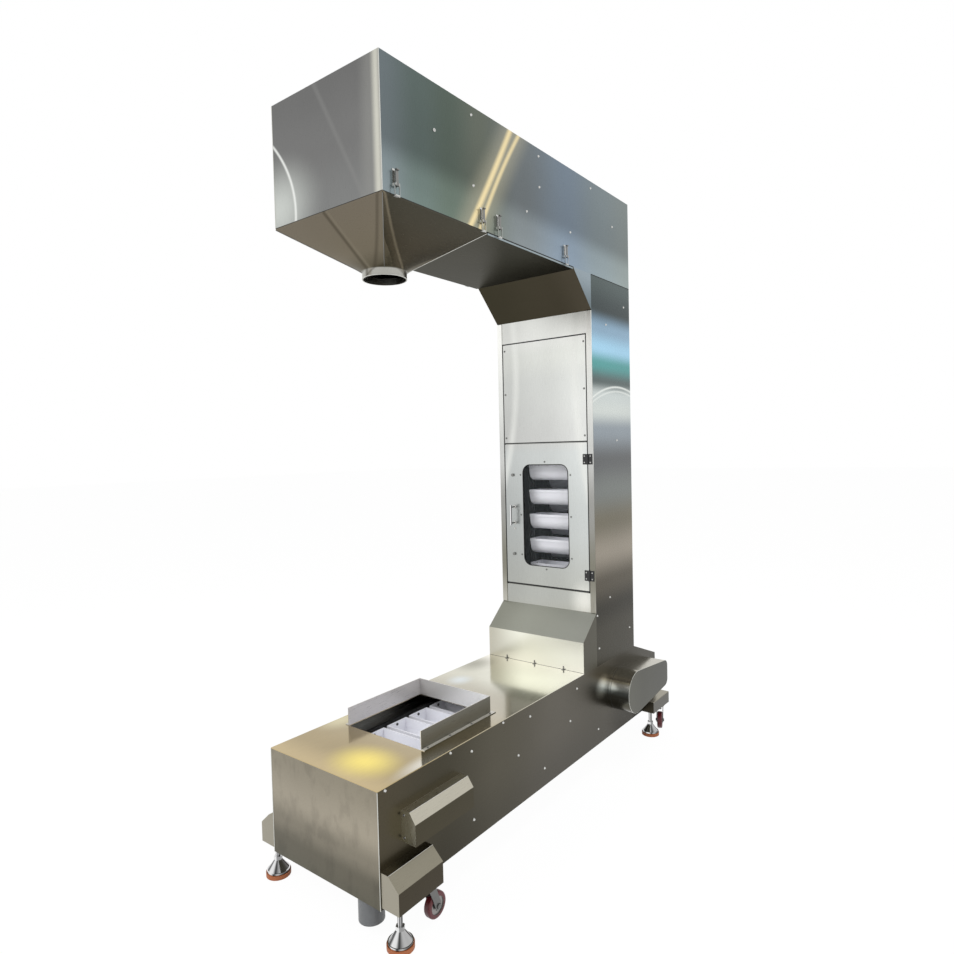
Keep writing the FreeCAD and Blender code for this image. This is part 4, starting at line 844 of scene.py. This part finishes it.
def weld(name, points, finish=None, radius=BEAD, closed=False):
    """A bead on the casing, painted bright as an edge highlight unless given another finish."""
    return wire(name, points, radius, finish or WELD_HIGHLIGHT, "casing", closed)


def seam(name, points, radius, body="casing", closed=False):
    """A dark joint, drawn as a thin line."""
    return wire(name, points, radius, SEAM, body, closed)


def corner_beads():
    """Beads along the folded corners that face the feed end, painted bright as edge highlights."""
    feed, nose = BASE_LOW[Y], HEAD_LOW[Y]
    for word, side in SIDES:
        x = MIDDLE + side * HALF
        weld("base_corner_" + word, [(x, feed, BASE_LOW[Z]), (x, feed, BASE_HIGH[Z])])
        weld("head_corner_" + word, [(x, nose, HEAD_LOW[Z]), (x, nose, HEAD_HIGH[Z] - BEAD)])


def hopper_beads():
    """Welds along the hopper's corners, in painted shade in front and painted bright as highlights at the
    rear, and the lip of its spout painted bright as a highlight.
    """
    low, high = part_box("discharge_hopper")
    rim = HEAD_LOW[Z] - 6 * MM
    nose, rear = HEAD_LOW[Y], high[Y]
    centre = (nose + rear) / 2
    reach = SPOUT_RADIUS * math.sqrt(0.5)
    mouth = low[Z] + SPOUT_COLLAR
    for word, side in SIDES:
        for end, y, toward, finish in (("front", nose, -1, FINISH["screw"]), ("rear", rear, 1, WELD_HIGHLIGHT)):
            start = (MIDDLE + side * HALF, y, rim)
            stop = (MIDDLE + side * reach, centre + toward * reach, mouth)
            weld(f"hopper_weld_{end}_{word}", [start, stop], finish)
    circle = arc(MIDDLE, centre, SPOUT_RADIUS, 0.0, 2 * math.pi, 48)[:-1]
    weld("spout_lip", [(x, y, low[Z] + BEAD) for x, y in circle], closed=True)


def column_frame():
    """Side folds beside the door and the cover, the plates above and below them, and the dark joints."""
    face = COLUMN_LOW[Y]
    fold, gasket, back = face - 3.4 * MM, face - 0.5 * MM, face - 0.05 * MM
    gap = 5 * MM
    lap = 2 * MM
    edge, far = DOOR_LOW[X] - gap, DOOR_HIGH[X] + gap
    foot, top = HOOD_HIGH[Z] + 1 * MM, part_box("knee_casing")[0][Z] - 1 * MM
    below, above = DOOR_LOW[Z] - 10 * MM, COVER_HIGH[Z] + 6 * MM
    folds = [
        ((COLUMN_LOW[X], fold, foot), (edge, face, top)),
        ((far, fold, foot), (COLUMN_HIGH[X], face, top)),
    ]
    slabs("column_side_folds", folds, FINISH["fold"], "casing", 1.0 * MM)
    plates = [
        ((edge, gasket, foot), (far, back, below)),
        ((edge, gasket, above), (far, back, top)),
    ]
    slabs("column_end_panels", plates, FINISH["panel"], "casing", 0.0)
    joints = [
        ((edge, gasket, below), (DOOR_LOW[X] + lap, back, above)),
        ((DOOR_HIGH[X] - lap, gasket, below), (far, back, above)),
        ((edge, gasket, COVER_HIGH[Z]), (far, back, above)),
        ((edge, gasket, DOOR_LOW[Z] - 8 * MM), (far, back, DOOR_LOW[Z])),
    ]
    slabs("column_joints", joints, SEAM, "casing", 0.0)
    start = (COVER_LOW[X], COVER_LOW[Y] - 0.25 * MM, COVER_LOW[Z])
    end = (COVER_HIGH[X], COVER_LOW[Y] + 1 * MM, COVER_LOW[Z] + 5 * MM)
    slabs("cover_edge", [(start, end)], SEAM, "casing", 0.0)


def head_joints():
    """Dark joints under the head along the hopper and the pan, and round the top of the column's side."""
    low = HEAD_LOW[Z] - 0.4 * MM
    nose, pan, knee = HEAD_LOW[Y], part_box("head_pan")[0][Y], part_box("knee_casing")[0][Y]
    thin = 0.9 * MM
    runs = (
        ("hopper_joint_", nose, pan, thin),
        ("pan_joint_", pan, knee, 2.0 * MM),
        ("column_joint_", COLUMN_LOW[Y] + 4 * MM, COLUMN_HIGH[Y] - 2 * MM, 1.5 * MM),
    )
    for word, side in SIDES:
        x = MIDDLE + side * HALF
        for name, start, end, radius in runs:
            seam(name + word, [(x, start, low), (x, end, low)], radius)
    seam("hopper_joint_front", [(MIDDLE - HALF, nose, low), (MIDDLE + HALF, nose, low)], thin)


def head_screw():
    """One larger screw on the head's right side."""
    _, along, up = design(0, 322, 2419)
    screws("head_screw", [Vector((MIDDLE + HALF, along, up))], (1, 0, 0), 6 * MM, 3.4 * MM, "polished")


def cover_screws():
    inset = 9 * MM
    height = COVER_HIGH[Z] - COVER_LOW[Z]
    places = [
        Vector((x, COVER_LOW[Y], COVER_LOW[Z] + share * height))
        for x in (COVER_LOW[X] + inset, COVER_HIGH[X] - inset) for share in (0.06, 0.5, 0.94)
    ]
    screws("cover_screws", places, FORWARD, 4.5 * MM, 2.6 * MM)


def inlet_chain():
    """Rollers and pin ends of the chain that show in the inlet."""
    start = INLET_LOW[Y] - 2 * CHAIN_PITCH
    count = int((INLET_HIGH[Y] - start) / CHAIN_PITCH) + 1
    middles = [start + index * CHAIN_PITCH for index in range(count)]
    roller = ((ROLLER_RADIUS, 0.0), (ROLLER_RADIUS, ROLLER_LENGTH))
    pin = ((PIN_RADIUS, 0.0), (PIN_RADIUS, 1.6 * MM), (PIN_RADIUS * 0.7, 2.2 * MM))
    for word, side in SIDES:
        inner = MIDDLE + side * CHAIN_X - side * ROLLER_LENGTH / 2
        outer = MIDDLE + side * (CHAIN_X + PLATE_REACH)
        for name, x, profile in (("inlet_rollers_", inner, roller), ("inlet_pins_", outer, pin)):
            places = [Vector((x, y, CHAIN_RUN)) for y in middles]
            turned_group(name + word, places, (side, 0, 0), profile, FINISH["zinc"], "casing")


def inlet_screws():
    """Screws of the inlet frame's foot."""
    top = BASE_HIGH[Z] + LID + INLET_FLANGE
    inset = 6 * MM
    length = INLET_HIGH[Y] - INLET_LOW[Y]
    places = [
        Vector((x, INLET_LOW[Y] + share * length, top))
        for x in (INLET_LOW[X] + inset, INLET_HIGH[X] - inset) for share in (0.06, 0.35, 0.65, 0.93)
    ]
    screws("inlet_screws", places, UPWARD, 4 * MM, 2.4 * MM)


def hood_clips():
    """Three small clips that hold the hood's foot to the lid, and the dark joint they close."""
    low, front = BASE_HIGH[Z] + LID, HOOD_LOW[Y]
    plate = (6 * MM, 9 * MM, 2 * MM)
    tab = (2.5 * MM, 2.5 * MM, 15 * MM)
    boxes = []
    for share in (0.2, 0.5, 0.8):
        x = HOOD_LOW[X] + share * (HOOD_HIGH[X] - HOOD_LOW[X])
        for half, depth, height in (plate, tab):
            boxes.append(((x - half, front - depth, low), (x + half, front, low + height)))
    slabs("hood_clips", boxes, FINISH["screw"], "casing")
    inset = 2 * MM
    seam("hood_joint", [(HOOD_LOW[X] + inset, front, low), (HOOD_HIGH[X] - inset, front, low)], 0.8 * MM)


def guard_outline(offset):
    """The guard's side outline: a round front about the drive shaft and a square rear with round corners."""
    front = Vector(JOINTS["drive_spin"]["pos_m"])
    radius = front.y - GUARD_LOW[Y] + offset
    half = GUARD_TAIL / 2 + offset
    rear = GUARD_HIGH[Y] + offset
    lean = math.pi / 2 - math.atan((radius - half) / (rear - front.y))
    corner = GUARD_CORNER
    along = rear - corner
    points = arc(front.y, front.z, radius, lean, 2 * math.pi - lean, 24)
    points += arc(along, front.z - half + corner, corner, -math.pi / 2, 0.0, 6)
    points += arc(along, front.z + half - corner, corner, 0.0, math.pi / 2, 6)
    return points


def guard_details():
    """A rim round the guard's face painted bright as a highlight, and the dark joint near the wall."""
    face, wall = GUARD_HIGH[X] - BEAD, GUARD_LOW[X] + 14 * MM
    weld("guard_rim", [(face, y, z) for y, z in guard_outline(-0.2 * MM)], closed=True)
    seam("guard_joint", [(wall, y, z) for y, z in guard_outline(-0.3 * MM)], 0.9 * MM, closed=True)


def side_box_details():
    """Screws at the end of the take-up cover, and folds along it and the front carrier painted bright as
    edge highlights.
    """
    low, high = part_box("takeup_covers")
    wall = MIDDLE + HALF
    screw_out, lower, upper = 10 * MM, 284 * MM, 352 * MM
    places = [Vector((wall + screw_out, low[Y], z)) for z in (lower, upper)]
    screws("takeup_screws", places, FORWARD, 4 * MM, 2.4 * MM)
    takeup_out, carrier_out, carrier_top = 32 * MM, 31 * MM, 223 * MM
    carrier_start, carrier_end = BASE_LOW[Y] + 3 * MM, BASE_LOW[Y] + 193 * MM
    for name, out, z, start, end in (
        ("takeup_fold", takeup_out, high[Z], low[Y], high[Y]),
        ("carrier_fold", carrier_out, carrier_top, carrier_start, carrier_end),
    ):
        weld(name, [(wall + out, start, z), (wall + out, end, z)], radius=0.9 * MM)


# Details on moving pieces

def window_details():
    """Screws round the window and the black edge of its pane."""
    face = DOOR_LOW[Y]
    low = Vector(design(-WINDOW_HALF, 0, WINDOW_FOOT))
    high = Vector(design(WINDOW_HALF, 0, WINDOW_TOP))
    out = 13 * MM
    places = [
        Vector((x, face, low.z + share * (high.z - low.z)))
        for x in (low.x - out, high.x + out) for share in (0.1, 0.5, 0.9)
    ]
    places += [Vector((MIDDLE, face, z)) for z in (low.z - out, high.z + out)]
    screws("window_screws", places, FORWARD, 4.2 * MM, 2.4 * MM, body="door")
    corner = WINDOW_CORNER
    right, left, top, foot = high.x - corner, low.x + corner, high.z - corner, low.z + corner
    outline = []
    for number, (x, z) in enumerate(((right, top), (left, top), (left, foot), (right, foot))):
        turn = number * math.pi / 2
        outline += arc(x, z, corner, turn, turn + math.pi / 2, 8)
    seam("window_edge", [(x, face + 0.2 * MM, z) for x, z in outline], 2.0 * MM, "door", closed=True)


def handle_details():
    """Round feet of the door's handle and a small lock below it."""
    low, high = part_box("door_handle")
    x, face = (low[X] + high[X]) / 2, DOOR_LOW[Y]
    inset, drop = 10 * MM, 18 * MM
    feet = [Vector((x, face, z)) for z in (low[Z] + inset, high[Z] - inset)]
    flange = ((9 * MM, 0.0), (9 * MM, 1.5 * MM), (7 * MM, 2.5 * MM), (4.2 * MM, 3 * MM))
    turned_group("handle_feet", feet, FORWARD, flange, FINISH["polished"], "door")
    screws("door_lock", [Vector((x, face, low[Z] - drop))], FORWARD, 6 * MM, 3 * MM, "polished", "door")


def hinge_screws():
    """Two screws on each leaf of both hinges."""
    hinge = Vector(JOINTS["door_hinge"]["pos_m"])
    low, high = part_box("hinge_leaves_door")
    face = DOOR_LOW[Y] - 3.5 * MM
    out, half, rise = 14.5 * MM, 23 * MM, 14 * MM
    heights = [middle + step for middle in (low[Z] + half, high[Z] - half) for step in (-rise, rise)]
    for body, side in (("door", -1), ("casing", 1)):
        places = [Vector((hinge.x + side * out, face, z)) for z in heights]
        screws("hinge_screws_" + body, places, FORWARD, 3.4 * MM, 1.4 * MM, "polished", body)


def caster_details():
    """Axle nuts on the forks and the nut on each kingpin."""
    nut = ((8 * MM, 0.0), (8 * MM, 3.4 * MM), (5.5 * MM, 4.4 * MM))
    cap = ((8 * MM, 0.0), (9 * MM, 2 * MM))
    cheek, kingpin_top = 16.2 * MM, 86.2 * MM
    for name, joint in JOINTS.items():
        if not name.startswith("wheel_"):
            continue
        corner = name.replace("wheel_", "").replace("_spin", "")
        body = "fork_" + corner
        centre = Vector(joint["pos_m"])
        axis = Vector(joint["axis"]).normalized()
        for word, side in (("outer", 1), ("inner", -1)):
            base = centre + axis * side * cheek
            piece = f"axle_nut_{word}_{corner}"
            turned_group(piece, [base], axis * side, nut, FINISH["zinc"], body, HEXAGON)
        pin = Vector(JOINTS[body + "_swivel"]["pos_m"])
        place = Vector((pin.x, pin.y, kingpin_top))
        piece = "kingpin_nut_" + corner
        turned_group(piece, [place], UPWARD, cap, FINISH["black"], "casing", HEXAGON)


def foot_nuts():
    """Lock nut under each carrier on the foot's stem."""
    nut = ((13 * MM, 0.0), (13 * MM, 11 * MM))
    seat = 108 * MM
    for joint in JOINTS.values():
        child = joint["child"]
        if not child.startswith("foot_"):
            continue
        low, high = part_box("levelling_" + child)
        place = Vector(((low[X] + high[X]) / 2, (low[Y] + high[Y]) / 2, seat))
        finish = FINISH["polished"]
        turned_group("lock_nut_" + child, [place], UPWARD, nut, finish, child, HEXAGON)


for detail in (
    corner_beads, hopper_beads, column_frame, head_joints, head_screw, cover_screws, inlet_chain,
    inlet_screws, hood_clips, guard_details, side_box_details, window_details, handle_details,
    hinge_screws, caster_details, foot_nuts,
):
    detail()


# Stage, light and camera

FLOOR_STRENGTH = 1.01
FLOOR_SHARE = 0.96
WORLD_LIGHT = 0.6


def seen_share(nodes, links):
    """1 for rays from the camera, off shiny faces and through glass, 0 for all others."""
    path = nodes.new("ShaderNodeLightPath")
    seen = value_math(nodes, links, "MAXIMUM", path.outputs["Is Camera Ray"], path.outputs["Is Glossy Ray"])
    return value_math(nodes, links, "MAXIMUM", seen, path.outputs["Is Transmission Ray"])


def show_to_camera(nodes, links, shader, strength, share):
    """Mixes plain light into a shader for the rays that see it, by share."""
    amount = value_math(nodes, links, "MULTIPLY", seen_share(nodes, links), share)
    emission = nodes.new("ShaderNodeEmission")
    emission.inputs["Strength"].default_value = strength
    mix = nodes.new("ShaderNodeMixShader")
    links.new(amount, mix.inputs[0])
    links.new(shader, mix.inputs[1])
    links.new(emission.outputs[0], mix.inputs[2])
    return mix.outputs[0]


def floor():
    """Plain pale floor, drawn as wide as the eye can see."""
    reach = 40.0
    corners = [(-reach, -reach, 0), (reach, -reach, 0), (reach, reach, 0), (-reach, reach, 0)]
    mesh = bpy.data.meshes.new("floor")
    mesh.from_pydata(corners, [], [(0, 1, 2, 3)])
    material, nodes, links, shader = new_material("floor_white")
    shader.inputs["Base Color"].default_value = (0.9, 0.9, 0.89, 1)
    shader.inputs["Roughness"].default_value = 0.9
    shader.inputs["Specular IOR Level"].default_value = 0.0
    output = nodes["Material Output"]
    shown = show_to_camera(nodes, links, shader.outputs[0], FLOOR_STRENGTH, FLOOR_SHARE)
    links.new(shown, output.inputs["Surface"])
    mesh.materials.append(material)
    plane = bpy.data.objects.new("floor", mesh)
    bpy.context.collection.objects.link(plane)


def world():
    """White round the machine, a little darker for the light that falls on it."""
    scene_world = bpy.data.worlds.new("studio")
    bpy.context.scene.world = scene_world
    scene_world.use_nodes = True
    nodes = scene_world.node_tree.nodes
    links = scene_world.node_tree.links
    background = nodes["Background"]
    seen = seen_share(nodes, links)
    strength = value_math(nodes, links, "MULTIPLY_ADD", seen, 1 - WORLD_LIGHT, WORLD_LIGHT)
    links.new(strength, background.inputs["Strength"])
    background.inputs["Color"].default_value = (1, 1, 1, 1)


def lamp(name, place, target, size, power):
    data = bpy.data.lights.new(name, "AREA")
    data.shape = "SQUARE"
    data.size = size
    data.energy = power
    light = bpy.data.objects.new(name, data)
    bpy.context.collection.objects.link(light)
    aim = (Vector(target) - Vector(place)).to_track_quat("-Z", "Y")
    light.matrix_world = Matrix.Translation(place) @ aim.to_matrix().to_4x4()
    light.visible_glossy = False


def lights():
    """Three soft lamps: from the front left, the right and above."""
    middle = (0, 0, 1.2)
    lamp("key", (-2.5, -5.0, 4.5), middle, 3.0, 220)
    lamp("fill", (5.0, -2.5, 3.0), middle, 3.5, 110)
    lamp("top", (0.5, 1.0, 5.5), middle, 3.0, 120)


def camera():
    """The photograph's camera, with its small roll."""
    azimuth = math.radians(CAMERA_AZIMUTH)
    elevation = math.radians(CAMERA_ELEVATION)
    roll = math.radians(CAMERA_ROLL)
    level = math.cos(elevation)
    back = Vector((math.sin(azimuth) * level, -math.cos(azimuth) * level, math.sin(elevation)))
    level_right = Vector((math.cos(azimuth), math.sin(azimuth), 0))
    level_up = back.cross(level_right)
    right = level_right * math.cos(roll) + level_up * math.sin(roll)
    up = level_up * math.cos(roll) - level_right * math.sin(roll)
    data = bpy.data.cameras.new("photo")
    data.sensor_width = SENSOR
    data.lens = CAMERA_LENS
    eye = bpy.data.objects.new("photo", data)
    bpy.context.collection.objects.link(eye)
    turn = Matrix((right, up, back)).transposed().to_4x4()
    eye.matrix_world = Matrix.Translation(CAMERA_PLACE) @ turn
    bpy.context.scene.camera = eye


floor()
world()
lights()
camera()
bpy.context.scene.view_settings.view_transform = "Standard"
